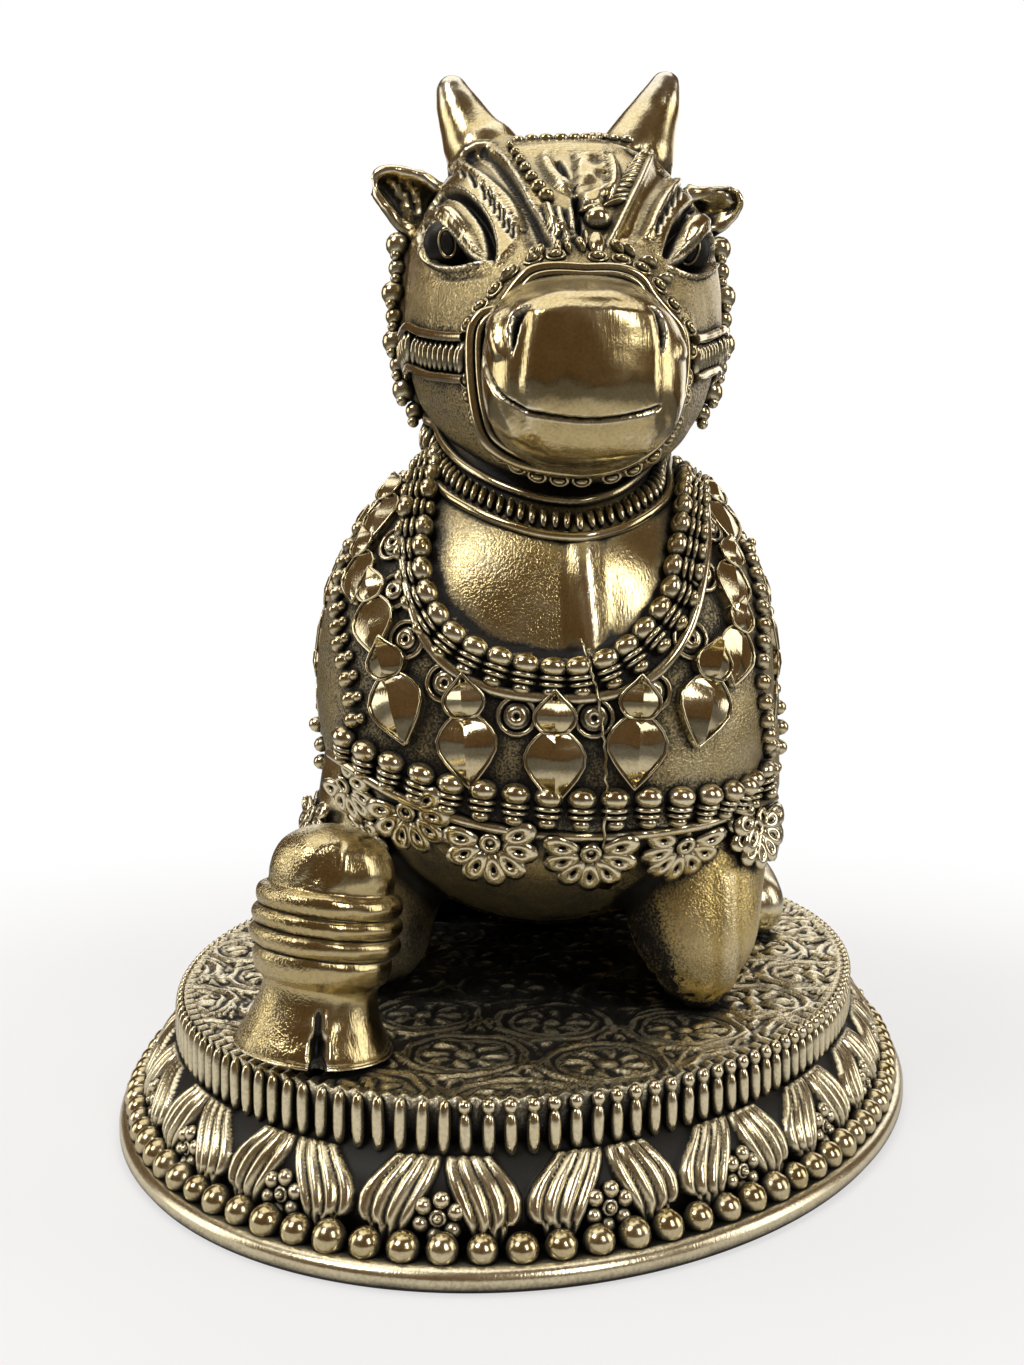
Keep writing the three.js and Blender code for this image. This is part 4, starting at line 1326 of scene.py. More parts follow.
# Outlines and strokes on the face, as points of the picture.
LEFT_EYE = [
    (421, 224), (430, 219), (440, 222), (450, 231), (458, 241), (466, 251), (476, 259), (484, 262), (468, 265),
    (450, 267), (437, 265), (428, 258), (422, 246), (419, 233),
]
RIGHT_EYE = [
    (716, 229), (707, 233), (697, 245), (685, 257), (668, 266), (677, 272), (690, 275), (703, 274), (713, 266),
    (718, 253), (719, 238),
]
NOSE_PAD = [
    (524, 308), (532, 300), (560, 297), (600, 298), (646, 300), (660, 308), (664, 330), (667, 380), (666, 425),
    (650, 455), (590, 464), (545, 458), (518, 430), (516, 380), (521, 340),
]
CHIN = [
    (484, 366), (500, 400), (544, 424), (605, 428), (660, 414), (690, 376), (682, 430), (645, 468), (590, 480),
    (540, 474), (500, 444),
]
CLEAR_VALLEY = [
    (678, 170), (662, 176), (647, 200), (636, 232), (622, 246), (612, 244), (622, 222), (636, 194), (650, 166),
    (660, 158),
]
NOSTRILS = (
    [(531, 305), (520, 306), (511, 313), (507, 326), (508, 342), (512, 359), (517, 344), (520, 328), (525, 316)],
    [(646, 306), (656, 306), (664, 315), (668, 330), (666, 345), (661, 359), (658, 343), (657, 328), (652, 315)],
)


LEFT_HAIRS = (
    ((462, 171), (466, 181)), ((470, 175), (477, 191)), ((482, 186), (486, 203)), ((488, 191), (491, 209)),
    ((493, 196), (495, 217)),
    ((498, 202), (500, 224)), ((503, 209), (504, 231)), ((508, 218), (508, 236)), ((513, 226), (512, 241)),
)
RIGHT_HAIRS = (
    ((686, 180), (681, 195)), ((680, 185), (676, 203)), ((675, 190), (670, 210)), ((669, 198), (665, 219)),
    ((664, 207), (660, 227)),
    ((659, 217), (655, 236)),
)
EAR_RIDGES = ([(387, 180), (399, 190), (407, 204), (410, 222)], [(397, 176), (409, 186), (416, 200), (418, 214)])
EAR_GROOVES = ([(381, 184), (391, 195), (399, 210), (404, 228)], [(392, 178), (404, 188), (412, 202), (415, 220)])
SHIELD_FINGERS = (
    [(546, 203), (549, 213), (552, 224), (559, 237)],
    [(556, 203), (559, 214), (563, 227), (571, 240)],
    [(567, 206), (570, 214), (572, 224), (578, 236)],
)


def carve_face(face):
    """The brows with their hair, the lids, the eye openings, the nose pad, nostrils and mouth."""
    # Left: the sharp ridge by the shield, the broad valley inside it, then the round ridge of the brow.
    face.line([(456, 163), (470, 151), (485, 147), (499, 156), (516, 178), (533, 207), (549, 236), (558, 249)], 6,
        0.65, taper=0.15)
    face.line([(478, 150), (492, 154), (506, 170), (520, 189), (532, 210), (543, 233), (548, 247)], 9, -0.75,
        taper=0.1)
    face.line([(466, 160), (484, 165), (500, 182), (514, 203), (526, 226), (536, 248)], 15, -0.6, taper=0.1)
    face.line([(450, 172), (460, 167), (476, 173), (492, 184), (506, 197), (515, 212), (521, 228)], 8, 0.7,
        taper=0.12)
    face.area([(434, 194), (446, 176), (458, 169), (472, 172), (487, 181), (502, 193), (514, 210), (521, 230),
        (518, 250), (505, 266), (494, 270), (492, 250), (486, 232), (476, 213), (463, 199), (448, 194)], 7, 0.4)
    # Right.
    face.line([(654, 151), (648, 163), (640, 182), (629, 205), (618, 228), (608, 248)], 6.5, 0.65, taper=0.15)
    face.line([(672, 172), (663, 173), (654, 186), (645, 203), (637, 221), (632, 240)], 15, -0.55, taper=0.12)
    face.line([(694, 176), (683, 178), (671, 190), (661, 205), (653, 222), (647, 240)], 8, 0.7, taper=0.12)
    face.area([(704, 196), (694, 180), (680, 182), (668, 196), (658, 214), (650, 236), (654, 256), (663, 264),
        (668, 246), (676, 226), (686, 212), (698, 206)], 7, 0.4)
    # Creases over the lids, then the lids themselves.
    face.line([(431, 210), (437, 201), (447, 194), (460, 196), (472, 205), (482, 218), (489, 233), (492, 248),
        (491, 260)], 6, -1.5, taper=0.16)
    face.line([(707, 212), (698, 206), (689, 211), (679, 223), (671, 240), (665, 258)], 5.5, -1.35, taper=0.16)
    face.area([(424, 216), (434, 207), (447, 204), (458, 209), (469, 221), (478, 237), (486, 256), (476, 257),
        (467, 252), (459, 242), (451, 231), (441, 222), (430, 219)], 9, 0.85)
    face.area([(715, 226), (706, 215), (696, 212), (687, 216), (679, 229), (671, 247), (667, 263), (686, 257),
        (698, 245), (708, 233)], 9, 0.85)
    # Eye openings with a rim.
    face.area(LEFT_EYE, 6, -2.0)
    face.area(RIGHT_EYE, 6, -2.0)
    face.line([(420, 228), (430, 217), (441, 220), (451, 229), (460, 240), (470, 252), (482, 260), (493, 265)], 2.4,
        0.2, taper=0.1)
    face.line([(419, 232), (421, 247), (427, 259), (438, 267), (454, 269), (470, 267), (484, 263)], 3.2, 0.5,
        taper=0.1)
    face.line([(717, 226), (707, 231), (697, 243), (685, 255), (664, 265)], 2.4, 0.2, taper=0.1)
    face.line([(719, 238), (719, 254), (713, 268), (703, 276), (690, 277), (676, 273), (664, 266)], 3.2, 0.5,
        taper=0.1)
    face.line([(432, 272), (450, 277), (472, 275), (492, 272)], 6, -0.3, taper=0.25)
    # Hair strokes on the inner brows.
    for hairs, bow, depth in ((LEFT_HAIRS, 1, -0.6), (RIGHT_HAIRS, -1, -0.55)):
        for a, b in hairs:
            face.line([a, ((a[0] + b[0]) / 2 + bow, (a[1] + b[1]) / 2), b], 2.4, depth, taper=0.25)
    # The shield's field with its open leaf, and the slots down its right side.
    face.area([(512, 146), (560, 142), (640, 143), (652, 150), (634, 190), (612, 232), (590, 252), (566, 244),
        (540, 202), (520, 166)], 9, -0.5)
    face.line([(541, 150), (549, 163), (558, 176), (574, 186)], 9, 0.6, taper=0.2)
    face.line([(557, 156), (562, 165), (568, 175)], 5.5, -0.9, taper=0.5)
    face.line([(605, 151), (612, 165), (614, 181), (607, 197)], 10, 1.1, taper=0.2)
    face.line([(576, 192), (577, 207), (578, 234)], 4.4, -1.3, taper=0.15)
    lumpy = face.area([(570, 148), (608, 149), (611, 178), (606, 206), (590, 216), (578, 206), (574, 182)], 8, 0.75)
    face.push += lumpy * np.clip(wobble(face.points, 1.8, 3) * 2.2, -1, 0.5) * 0.42
    # Folds in the cups of the ears.
    for folds, height in ((EAR_RIDGES, 0.35), (EAR_GROOVES, -0.35)):
        for fold in folds:
            face.line(fold, 4, height, taper=0.3)
    face.line([(712, 190), (722, 188), (732, 194), (733, 205), (724, 213)], 5, -0.6, taper=0.2)
    # Rounded fingers at the shield's foot.
    for finger in SHIELD_FINGERS:
        face.line(finger, 4.8, 1.15, "cord", taper=0.3)
    # Nose: the rounded pad, the slits beside it, the flanks that swell outside them.
    face.area(NOSE_PAD, 15, 0.4)
    face.area(CHIN, 24, 0.45)
    for nostril in NOSTRILS:
        face.area(nostril, 5, -1.8)
    face.line([(505, 303), (496, 318), (494, 338), (500, 360)], 10, 0.5, taper=0.3)
    face.line([(676, 303), (685, 318), (687, 338), (682, 360)], 10, 0.5, taper=0.3)
    # The cheek straps' sunk fields.
    for top, low in CHEEK_STRAPS:
        face.area(top + low[::-1], 4, -0.5)
    # Mouth.
    face.line([(480, 350), (484, 366), (491, 382), (501, 395), (520, 407), (544, 413), (575, 417), (605, 417),
        (637, 412), (661, 405)], 2.8, -0.75, "sharp", taper=0.06)


class NANDI_OT_head(bpy.types.Operator):
    """Builds the bull's head with its horns, ears, brows, eyes, nose and mouth"""
    bl_idname = "nandi.head"
    bl_label = "Head"

    def execute(self, context):
        sizes = context.scene.nandi_bull
        bm = bmesh.new()
        lofted(bm, SKULL, 40, square=2.25)
        lofted(bm, MUZZLE, 40, square=2.7)
        for hand in (-1, 1):
            drop = HORN_DROP[hand]
            limb(bm, [(hand * x, y, z - (drop if z > 88 else 0), thick) for x, y, z, thick in HORN])
            ball(bm, (hand * 11.6, -24.4, 74.2), (3.9, 4.2, 3.4), 20, 14)
        for upper, lower, cup in EARS:
            ear(bm, upper, lower, cup)
        bmesh.ops.transform(bm, verts=bm.verts, matrix=HEAD)
        mesh = fused(bm, sizes.head_cell / MM, 9)
        points, _ = read(mesh)
        back = HEAD.inverted()
        local = carried(points, back)
        x, y, z = local.T
        # The sides are drawn in, but not the front of the muzzle and the ears.
        slim = np.interp(z, *zip(*SLIMMING)) * (1 + 0.2 * (x > 0) * np.clip((68 - z) / 6, 0, 1))
        slim *= np.clip((y + 36) / 8, 0, 1) * (1 - np.clip((z - 75) / 3, 0, 1) * np.clip((np.abs(x) - 15.5) / 1.5,
            0, 1))
        local[:, 0] *= 1 - slim
        write(mesh, carried(local, HEAD))
        # The face gets a finer skin than the rest of the head.
        bm = bmesh.new()
        bm.from_mesh(mesh)
        bpy.data.meshes.remove(mesh)
        front = [f for f in bm.faces if (back @ f.calc_center_median()).y < -19.5 and f.normal.y < 0.1]
        bmesh.ops.subdivide_edges(bm, edges=list({e for f in front for e in f.edges}), cuts=1, use_grid_fill=True)
        ears = [v for v in bm.verts if abs((back @ v.co).x) > 14.5 and (back @ v.co).z > 76.5]
        calmed(bm, ears, 9)
        near = [v for v in bm.verts if (back @ v.co).y < -16.5]
        calmed(bm, near, 3)
        mesh = baked(bm, "head", recalc=False)
        face = Face(mesh)
        carve_face(face)
        clear = face.area(CLEAR_VALLEY, 5, 0.0)
        points = face.carved()
        local = carried(points, back)
        x, y, z = local.T
        calm = np.clip((z - 84) / 2, 0, 0.85) + np.clip((np.abs(x) - 14.5) / 1, 0, 0.85) * (z > 77)
        uneven = 0.09 * wobble(points, 3.2, 5) + 0.03 * wobble(points, 1.4, 8)
        points += face.normals * (uneven * np.clip(1 - calm, 0, 1))[:, None]
        write(mesh, points)
        # Smooth metal on the muzzle, the horns, the ears, the relief and the brow; grain on the rest.
        smooth = np.clip((-36 - y) / 2, 0, 1) + np.clip((z - 86) / 2, 0, 1) + np.clip((np.abs(x) - 14.5) / 1, 0,
            1) * (z > 77)
        smooth += np.clip(face.push * 2 - 0.3, 0, 1) + np.clip((z - 67) / 9, 0, 1) * 0.9 + clear
        grain = np.clip(1 - smooth, 0, 1)
        cheek = np.clip((-14 - y) / 4, 0, 1) * np.clip((77 - z) / 4, 0, 1) * np.clip((y + 38) / 3, 0, 1)
        # Less dark wash on the upper right of the face: a painted reflection.
        pale = np.clip((x - 3) / 2, 0, 1) * np.clip((z - 73) / 2, 0, 1) * np.clip(1.1 - face.cut, 0, 1)
        horns = np.clip((z - 84) / 2, 0, 1)
        # The cheeks a little darker, more towards the bottom of the jaw, where the darkening is painted shade.
        jaw = cheek * (0.08 + 0.25 * np.clip((66 - z) / 4, 0, 1))
        # The dark wash in the cuts, with the painted reflection and the painted shade; none in the clear valley, and
        # the horns darker.
        wash_and_shade = np.clip(face.cut * 0.7 - 0.12, 0, 1.4) * (1 - 0.8 * pale) - 0.8 * clear + 0.2 * horns + jaw
        put(mesh, "bare", np.clip((z - 91) / 4.5, 0, 1) * 0.6)
        silver = context.scene.nandi_finish.silver
        metal = gold("head gold", wash=0.5, wear=0.5, polish=0.7, brushed=0.25, reach=2.2, tips=silver)
        finished("bull_head", mesh, metal, BULL, grain=grain, wash_and_shade=wash_and_shade)
        return {"FINISHED"}


NOSE_RING = [
    (0.6, 69.9), (-2.4, 70.0), (-4.4, 69.6), (-5.7, 68.4), (-6.8, 66.9), (-7.3, 66.2), (-9.0, 65.6), (-9.8, 64.0),
    (-9.8, 60.2), (-9.3, 56.6), (-8.4, 54.2), (-6.0, 52.5), (-2.8, 51.7), (0.4, 51.5), (3.6, 52.0), (6.6, 53.7),
    (8.8, 56.4), (9.7, 60.4), (9.6, 64.0), (8.2, 65.9), (6.9, 67.4), (5.7, 69.1), (3.6, 69.9),
]
# Beaded, reeded and corded lines of the harness, as points of the picture.
CHEEK_STRAPS = (
    ([(412, 326), (420, 330), (430, 333), (446, 336), (467, 338)],
    [(413, 366), (421, 371), (431, 375), (448, 378), (468, 380)]),
    ([(718, 329), (712, 333), (702, 337), (690, 341)], [(717, 367), (711, 371), (702, 375), (691, 379)]),
)
SHIELD_BALLS = (
    (510, 149, 0.42), (515, 156, 0.47), (520, 163, 0.52), (525, 171, 0.57), (531, 180, 0.64), (538, 190, 0.75),
    (546, 199, 0.8),
)
SHIELD_TAB = (  # a point of the picture, the half sizes and the lean
    ((597, 221), (1.4, 1.3, 1.4), 0), ((590, 210), (1.2, 0.45, 0.9), 0.3), ((596, 244), (0.85, 1.8, 0.8), 0),
    ((586, 240), (0.35, 1.6, 0.7), 0),
)
KNOTS = (
    ((532, 257), 0.9), ((540, 254), 0.9), ((558, 250), 1.3), ((567, 248), 1.3), ((580, 247), 1.5),
    ((616, 249), 1.8),
    ((626, 252), 2.0), ((648, 264), 2.4), ((508, 276), 0.5), ((664, 280), 2.7),
)
CROWN = [(512, 141), (530, 139), (560, 138), (600, 138), (640, 141)]
CHEEK_LINE_Y = -13.6
CHEEK_BALL_HEIGHTS = (77.0, 74.6, 72.0, 69.6, 67.0, 64.6, 62.0, 59.8)
COLLAR = [  # a turn round the neck in degrees and the collar's height there
    (-180, 62), (-130, 61), (-90, 59), (-54, 55.9), (-27, 51.2), (-11, 48.7), (0, 47.4), (10, 47.0), (21, 48.0),
    (37, 50.8), (54, 54.5), (90, 59), (130, 61), (180, 62),
]
EYES = (  # the point of the picture it lies at, its middle, its lean, its half width and how far it looks aside
    ((453, 242), (-11.8, -27.0, 74.0), 0.1, 2.5, -0.12),
    ((696, 252), (11.5, -26.6, 73.6), -0.35, 2.1, 0.12),
)
SHIELD_TEETH = [(648, 150), (640, 161), (634, 172), (627, 184), (620, 196), (612, 208)]


class NANDI_OT_harness(bpy.types.Operator):
    """Builds the noseband, cheek straps, forehead shield, collar, cheek balls and eyes"""
    bl_idname = "nandi.harness"
    bl_label = "Harness"

    def execute(self, context):
        tree, trunk = skin_of("bull_head"), skin_of("bull_body")
        straps, balls = bmesh.new(), bmesh.new()

        # The noseband: two cord rings round the muzzle with ringed bosses behind them.
        ring = spline(NOSE_RING + NOSE_RING[:1], 5)[:-1]
        middle = np.array((0, 60.4))

        def noseband(y, share):
            """The noseband's outline at a depth, widened from its middle by a share."""
            return [HEAD @ Vector((q[0], y, q[1])) for q in (middle + (p - middle) * share for p in ring)]

        cord(straps, noseband(-34.9, 1.0), 0.5, closed=True, sides=4)
        cord(straps, noseband(-35.6, 0.925), 0.34, closed=True, sides=3)

        def boss(small):
            ball(small, (0, 0, 0.25), (0.62, 0.62, 0.55), 10, 6)
            hoop(small, Matrix.Translation((0, 0, 0.12)), 0.86, 0.2, 14, 6)

        sides = noseband(-33.6, 1.1)
        centre = HEAD @ Vector((middle[0], -33.0, middle[1]))
        run, pitch = 0.0, 2.25
        for a, b in zip(sides, sides[1:] + sides[:1]):
            run += (b - a).length
            if run < pitch:
                continue
            run -= pitch
            out = (b - centre).normalized()
            at = tree.find_nearest(b)[0] or b
            place = standing(at, (out * 0.6 + Vector((0, -0.8, 0))).normalized(), (b - a).normalized())
            added(balls, kept("ringed boss", boss), place @ Matrix.Diagonal((0.68, 0.95, 0.85, 1)))

        def cheek(hand, y, z):
            """Where a ray straight across the head meets its skin, and the way out there."""
            return tree.ray_cast(HEAD @ Vector((hand * 40, y, z)), HEAD.to_3x3() @ Vector((-hand, 0, 0)))[:2]

        def wrapped(rim, hand):
            """The rim's hits seen from the front, led back along the cheek to the balls."""
            hits = whole(seen(tree, u, v) for u, v in rim)
            first = HEAD.inverted() @ hits[0][0]
            for y in np.arange(first.y + 0.5, CHEEK_LINE_Y, 0.5):
                at, out = cheek(hand, y, first.z)
                if at is not None:
                    hits.insert(0, (at, out))
            return hits

        for hand, (top, bottom) in zip((-1, 1), CHEEK_STRAPS):
            # The strap is a row of reeds between two rims.
            between = [((a[0] + b[0]) / 2, (a[1] + b[1]) / 2) for a, b in zip(top, bottom)]
            upper, centred, lower = [wrapped(spline(line, 8), hand) for line in (top, between, bottom)]
            for row in (upper, lower):
                cord(straps, eased(row, 2, 0.45), 0.45, sides=3)
            reeds = [(at, hit[1]) for at, hit in zip(eased(centred, 2, 0.35), centred)]
            for at, out, along in evenly(reeds, 1.1):
                ball(straps, standing(at, out, out.cross(along)), (0.44, 1.6, 0.75), 8, 6)

        # The forehead shield's teeth, its ball and the tab that runs down over the noseband.
        for u, v, size in SHIELD_BALLS:
            for at, out in whole([seen(tree, u, v)]):
                ball(balls, standing(at + out * 0.38, out), (size, size * 0.85, size), 10, 8)
        hits = whole(seen(tree, u, v) for u, v in spline(SHIELD_TEETH, 12))
        for k, (at, out, along) in enumerate(evenly(hits, 1.05)):
            turn = standing(at, out, along) @ Matrix.Rotation(-0.9, 4, "Z")
            ball(balls, turn, (0.36, 0.75 + 0.07 * k, 0.6), 8, 8)

        def stud(u, v, size, lean, around):
            """A ball on the head where the picture shows that point."""
            for hit in whole([seen(tree, u, v)]):
                ball(straps, standing(*hit) @ Matrix.Rotation(lean, 4, "Z"), size, around, 8)

        for (u, v), size, lean in SHIELD_TAB:
            stud(u, v, size, lean, 12)
        # Twisted knots over the noseband.
        for (u, v), lean in KNOTS:
            stud(u, v, (0.42, 1.0, 0.95), lean - 1.2, 8)
        crown = whole(seen(tree, u, v) for u, v in spline(CROWN, 10))
        for at, out, along in evenly(crown, 1.5):
            ball(balls, standing(at, out, out.cross(along)), (0.75, 0.5, 0.5), 8, 6)

        # The balls behind the cheeks, on a strap that goes round the head.
        for hand in (-1, 1):
            strap = []
            for k, z in enumerate(CHEEK_BALL_HEIGHTS):
                at, _ = cheek(hand, CHEEK_LINE_Y, z)
                if at is None:
                    continue
                out = (HEAD.to_3x3() @ Vector((hand, -0.25, 0))).normalized()
                strap.append(at + out * 0.35)
                size = 1.35 if k % 2 == 0 else 1.05
                ball(balls, standing(at + out * (size * 0.5 + 0.95), out), (size, size, size), 12, 8)
                ball(balls, standing(at + out * (size * 0.7 + 0.9) + Vector((0, -0.5, -1.2)), out),
                    (0.62, 0.62, 0.62), 8, 6)
            cord(straps, [Vector(p) for p in spline([tuple(p) for p in strap], 4)], 1.0, sides=3)

        # The collar under the jaw, reeds between two rims, round the whole neck.
        hits, rims = [], ([], [])
        for turn in np.arange(-180, 180, 2.0):
            z = float(np.interp(turn, *zip(*COLLAR)))
            hit = polar(trunk, turn, z, 1.0)
            if hit:
                hits.append(hit)
            for rim, lift in zip(rims, (1.75, -1.6)):
                hit = polar(trunk, turn, z + lift, 1.0)
                if hit:
                    rim.append(hit)
        for rim in rims:
            cord(straps, eased(rim, 3, 0.3), 0.48, closed=True, sides=3)
        for at, out, along in evenly(hits + hits[:1], 1.12):
            ball(straps, standing(at + out * 0.2, out, UP), (0.41, 1.28, 0.7), 8, 8)

        # Eyes: a dark ball in each opening, an iris hoop round its pupil.
        eyes = bmesh.new()
        for (u, v), place, lean, wide, aside in EYES:
            at = HEAD @ Vector(place)
            toward = ((sight(u, v)[0] - at).normalized() + Vector((aside, 0, 0))).normalized()
            turn = standing(at, toward) @ Matrix.Rotation(lean, 4, "Z")
            ball(eyes, turn @ Matrix.Translation((0, 0, -0.35)), (wide, 2.2, 1.2), 20, 12)
            hoop(straps, turn @ Matrix.Translation((0, 0, 0.78)), 0.8, 0.13, 24, 6, tall=1.65)
            ball(eyes, turn @ Matrix.Translation((0, 0, 0.72)), (0.7, 1.15, 0.3), 16, 8)

        finished("harness", straps, gold("boss gold"), BULL, hollow=0.18)
        finished("harness_balls", balls, gold("bead gold"), BULL, hollow=0.15)
        metal = gold("eye gold", wash=1.15, wear=0.0, polish=0.85, reach=2.0)
        finished("eyes", eyes, metal, BULL, hollow=0.3)
        return {"FINISHED"}


LINGAM = [
    (0, 0), (6.5, 0), (6.75, 0.3), (6.6, 0.9), (6.1, 1.9), (5.6, 3.2), (5.2, 4.6), (5.05, 5.6), (5.2, 6.1),
    (5.8, 6.7), (6.1, 7.5), (6.15, 8.2), (5.98, 8.75), (5.8, 9.0), (6.2, 9.15), (6.55, 9.55), (6.66, 10.0),
    (6.55, 10.5), (6.2, 10.85), (6.02, 10.95), (6.3, 11.1), (6.55, 11.5), (6.62, 11.85), (6.5, 12.3), (6.2, 12.6),
    (6.02, 12.68), (6.2, 12.85), (6.42, 13.4), (6.42, 13.9), (6.2, 14.4), (5.75, 14.7), (5.5, 14.95), (5.5, 16.0),
    (5.28, 17.2), (4.7, 18.5), (3.7, 19.5), (2.3, 20.2), (0.9, 20.48), (0, 20.52),
]
LINGAM_LEAN, LINGAM_SHARE = math.radians(7), 0.955  # its lean to the side, and its height as a share of the profile's
LINGAM_RISE = 6.5 * math.sin(LINGAM_LEAN)  # the leaning foot stands on its edge, 6.5 mm out
LINGAM_PLACE = Matrix.Translation((-11.5, -45, SEAT + LINGAM_RISE)) @ Matrix.Rotation(LINGAM_LEAN, 4, "Y")
SLOT = [
    (1.5, -4.9, 5.0), (1.6, -5.05, 4.3), (1.8, -5.35, 3.3), (2.05, -5.75, 2.0), (2.3, -6.2, 0.9), (2.4, -6.3, 0),
]
DOME_CUT = [  # as points of the picture
    (291, 891), (297, 876), (306, 861), (318, 848), (332, 840), (348, 838), (347, 866), (341, 884), (323, 894),
    (319, 888),
]


class NANDI_OT_lingam(bpy.types.Operator):
    """Builds the small lingam that stands before the bull"""
    bl_idname = "nandi.lingam"
    bl_label = "Lingam"

    def execute(self, context):
        bm = bmesh.new()
        line = [bm.verts.new((r, 0, z)) for r, z in spline(LINGAM, 4)]
        for v in line:
            v.co.x = max(v.co.x, 0)
        line[0].co.x = line[-1].co.x = 0
        edges = [bm.edges.new(pair) for pair in zip(line, line[1:])]
        bmesh.ops.spin(bm, geom=line + edges, cent=(0, 0, 0), axis=(0, 0, 1), angle=2 * math.pi, steps=180,
            use_merge=True)
        bmesh.ops.remove_doubles(bm, verts=bm.verts, dist=1e-4)
        mesh = baked(bm, "lingam")
        points, normals = read(mesh)
        # A raised lip down the foot with a slot in it, wider below.
        slot_gap, _ = away(points, SLOT[1:], 1.2)
        low_gap, _ = away(points, SLOT[3:], 1.2)
        points = tooled(points, normals, SLOT[1:], 1.3, 0.35, taper=0.25)
        points = tooled(points, normals, SLOT[1:5], 0.42, -0.8, "cord", 0.35)
        points = tooled(points, normals, SLOT[3:], 0.78, -1.1, "cord")
        points[:, 2] = points[:, 2] * LINGAM_SHARE - 0.1 * points[:, 1] * np.clip(points[:, 2] / 7, 0, 1)
        points += normals * (wobble(points, 2.2) * 0.1 + wobble(points, 0.9, 7) * 0.035)[:, None]
        points[:, 2] = np.maximum(points[:, 2], 0)
        write(mesh, points)
        # The flat cut on the dome, and the ring that runs out into it.
        face = Face(mesh, LINGAM_PLACE)
        face.area(DOME_CUT, 9, -0.24)
        points = face.carved()
        write(mesh, points)
        grain = np.clip(0.2 - points[:, 0] / 12, 0, 0.6)
        wash_and_shade = np.maximum(np.clip(1.6 - slot_gap / 0.3, 0, 1.5), np.clip(2.2 - low_gap / 0.35, 0, 1.5))
        metal = gold("lingam gold", wash=0.46, wear=0.5, polish=0.74, brushed=0.35, reach=1.8)
        obj = finished("lingam_figure", mesh, metal, LINGAM_PLACE, grain=grain, wash_and_shade=wash_and_shade,
            hollow=0.6)
        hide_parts("lingam")
        return {"FINISHED"}


LAMPS = (  # name, place in metres, width, height, power and colour
    ("top light", (-0.1, 0.15, 0.9), 1.0, 0.8, 3.4, (1, 0.99, 0.97)),
    ("key", (-0.42, -0.5, 0.7), 0.3, 0.34, 2.3, (1, 0.99, 0.97)),
    ("window", (0.55, -0.55, 0.5), 0.2, 0.42, 1.9, (1, 0.99, 0.96)),
    ("left light", (-0.8, -0.1, 0.25), 0.4, 0.6, 1.5, (1, 0.98, 0.94)),
    ("right light", (0.85, 0.1, 0.3), 0.4, 0.6, 1.7, (1, 0.98, 0.95)),
    ("back light", (0.0, 0.9, 0.35), 1.2, 0.5, 2.6, (1, 1, 1)),
)
LAMPS_AIM = Vector((0, 0, 0.05))
SENSOR = 36


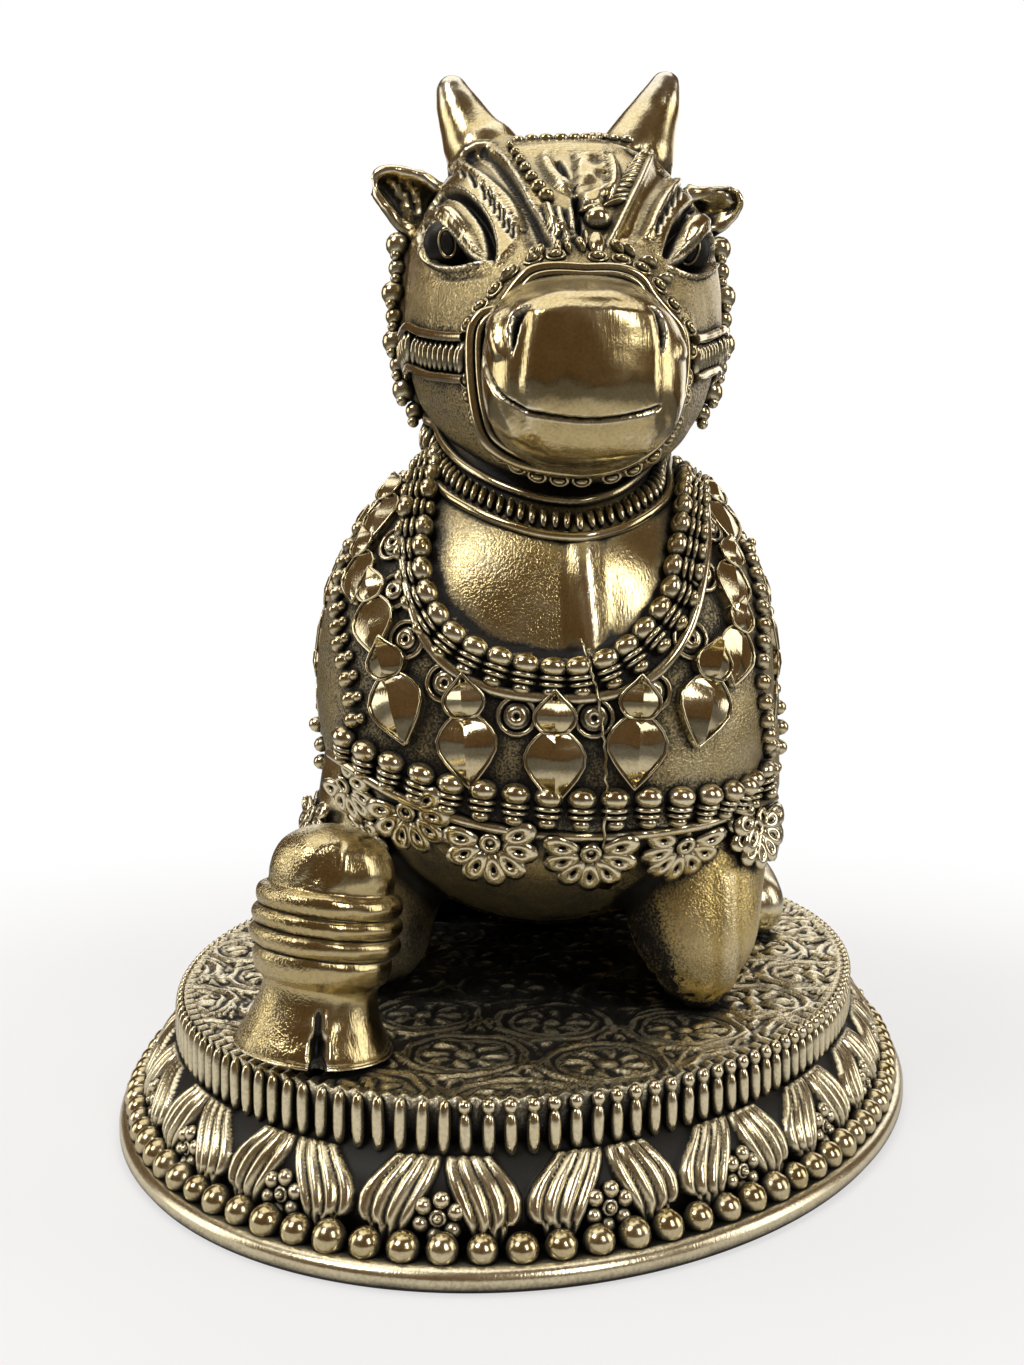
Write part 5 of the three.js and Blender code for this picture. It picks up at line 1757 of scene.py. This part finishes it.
class NANDI_OT_stage(bpy.types.Operator):
    """Sets the pale floor, the soft light and the camera"""
    bl_idname = "nandi.stage"
    bl_label = "Stage"

    def execute(self, context):
        scene = context.scene
        values = scene.nandi_stage
        bm = bmesh.new()
        bmesh.ops.create_grid(bm, x_segments=1, y_segments=1, size=4)
        mesh = baked(bm, "floor", recalc=False)
        floor = bpy.data.objects.new("floor", mesh)
        context.collection.objects.link(floor)
        pale = bpy.data.materials.new("pale floor")
        pale.use_nodes = True
        wire, nodes = Wiring(pale.node_tree), pale.node_tree.nodes
        place = wire.node("ShaderNodeTexCoord").outputs["Object"]
        far = wire.node("ShaderNodeVectorMath", {0: place}, operation="LENGTH").outputs["Value"]
        camera_ray = wire.node("ShaderNodeLightPath").outputs["Is Camera Ray"]
        # The camera sees the floor's own colour; what the metal mirrors of it is darker further out.
        own = (*values.floor, 1)
        bounced = (*[c * values.bounce for c in values.floor], 1)
        near = wire.maths("MAXIMUM", wire.mapped(far, 0.085, 0.18, 0.85, 0.0), camera_ray)
        tone = wire.mixed(near, bounced, own)
        shader = wire.fed(nodes["Principled BSDF"], {"Base Color": tone, "Roughness": 0.9})
        # Far from the figure the floor fades into the white behind it.
        fade = wire.maths("MULTIPLY", wire.mapped(far, 0.05, 0.16, 0.62), camera_ray)
        white = wire.node("ShaderNodeEmission").outputs[0]
        mix = wire.node("ShaderNodeMixShader", {0: fade, 1: shader.outputs[0], 2: white}).outputs[0]
        wire.fed(nodes["Material Output"], {"Surface": mix})
        mesh.materials.append(pale)

        for name, at, wide, tall, power, colour in LAMPS:
            light = bpy.data.lights.new(name, "AREA")
            light.shape = "RECTANGLE"
            light.size, light.size_y = wide, tall
            light.energy = power * values.light
            light.color = colour
            lamp = bpy.data.objects.new(name, light)
            lamp.matrix_world = standing(Vector(at), Vector(at) - LAMPS_AIM)
            context.collection.objects.link(lamp)

        world = bpy.data.worlds.new("studio")
        scene.world = world
        world.use_nodes = True
        wire, nodes = Wiring(world.node_tree), world.node_tree.nodes
        room = wire.fed(nodes["Background"], {"Color": (0.23, 0.14, 0.07, 1), "Strength": 0.5}).outputs[0]
        paper = wire.node("ShaderNodeBackground", {"Color": (1, 1, 1, 1), "Strength": 1.0}).outputs[0]
        camera_ray = wire.node("ShaderNodeLightPath").outputs["Is Camera Ray"]
        mix = wire.node("ShaderNodeMixShader", {0: camera_ray, 1: room, 2: paper}).outputs[0]
        wire.fed(nodes["World Output"], {"Surface": mix})
        scene.view_settings.view_transform = "Standard"

        camera = bpy.data.cameras.new("camera")
        camera.lens = FOCAL / PHOTO_TALL * SENSOR
        camera.sensor_width = SENSOR
        camera.clip_start = 0.005
        eye = bpy.data.objects.new("camera", camera)
        eye.matrix_world = standing(CAMERA_AT * MM, CAMERA_BACK)
        context.collection.objects.link(eye)
        scene.camera = eye
        return {"FINISHED"}


OPERATORS = (
    NANDI_OT_base, NANDI_OT_beads, NANDI_OT_reeds, NANDI_OT_plate, NANDI_OT_body, NANDI_OT_ornament, NANDI_OT_head,
    NANDI_OT_harness,
    NANDI_OT_lingam, NANDI_OT_stage,
)
GROUPS = (
    ("nandi_base", NANDI_PG_base), ("nandi_bull", NANDI_PG_bull), ("nandi_finish", NANDI_PG_finish),
    ("nandi_stage", NANDI_PG_stage),
)


class NANDI_PT_panel(bpy.types.Panel):
    """Lists the figure's sizes, colours and build steps"""
    bl_idname = "NANDI_PT_panel"
    bl_label = "Nandi bull figure"
    bl_space_type = "VIEW_3D"
    bl_region_type = "UI"
    bl_category = "Nandi"

    def draw(self, context):
        for name, kind in GROUPS:
            box = self.layout.box()
            box.label(text=kind.__doc__)
            for prop in kind.__annotations__:
                box.prop(getattr(context.scene, name), prop)
        for kind in OPERATORS:
            self.layout.operator(kind.bl_idname)


def register():
    for name, kind in GROUPS:
        bpy.utils.register_class(kind)
        setattr(bpy.types.Scene, name, PointerProperty(type=kind))
    for kind in (*OPERATORS, NANDI_PT_panel):
        bpy.utils.register_class(kind)


def unregister():
    for kind in reversed((*OPERATORS, NANDI_PT_panel)):
        bpy.utils.unregister_class(kind)
    for name, kind in reversed(GROUPS):
        delattr(bpy.types.Scene, name)
        bpy.utils.unregister_class(kind)


def main():
    register()
    for kind in OPERATORS:
        area, name = kind.bl_idname.split(".")
        getattr(getattr(bpy.ops, area), name)()


if __name__ == "__main__":
    main()
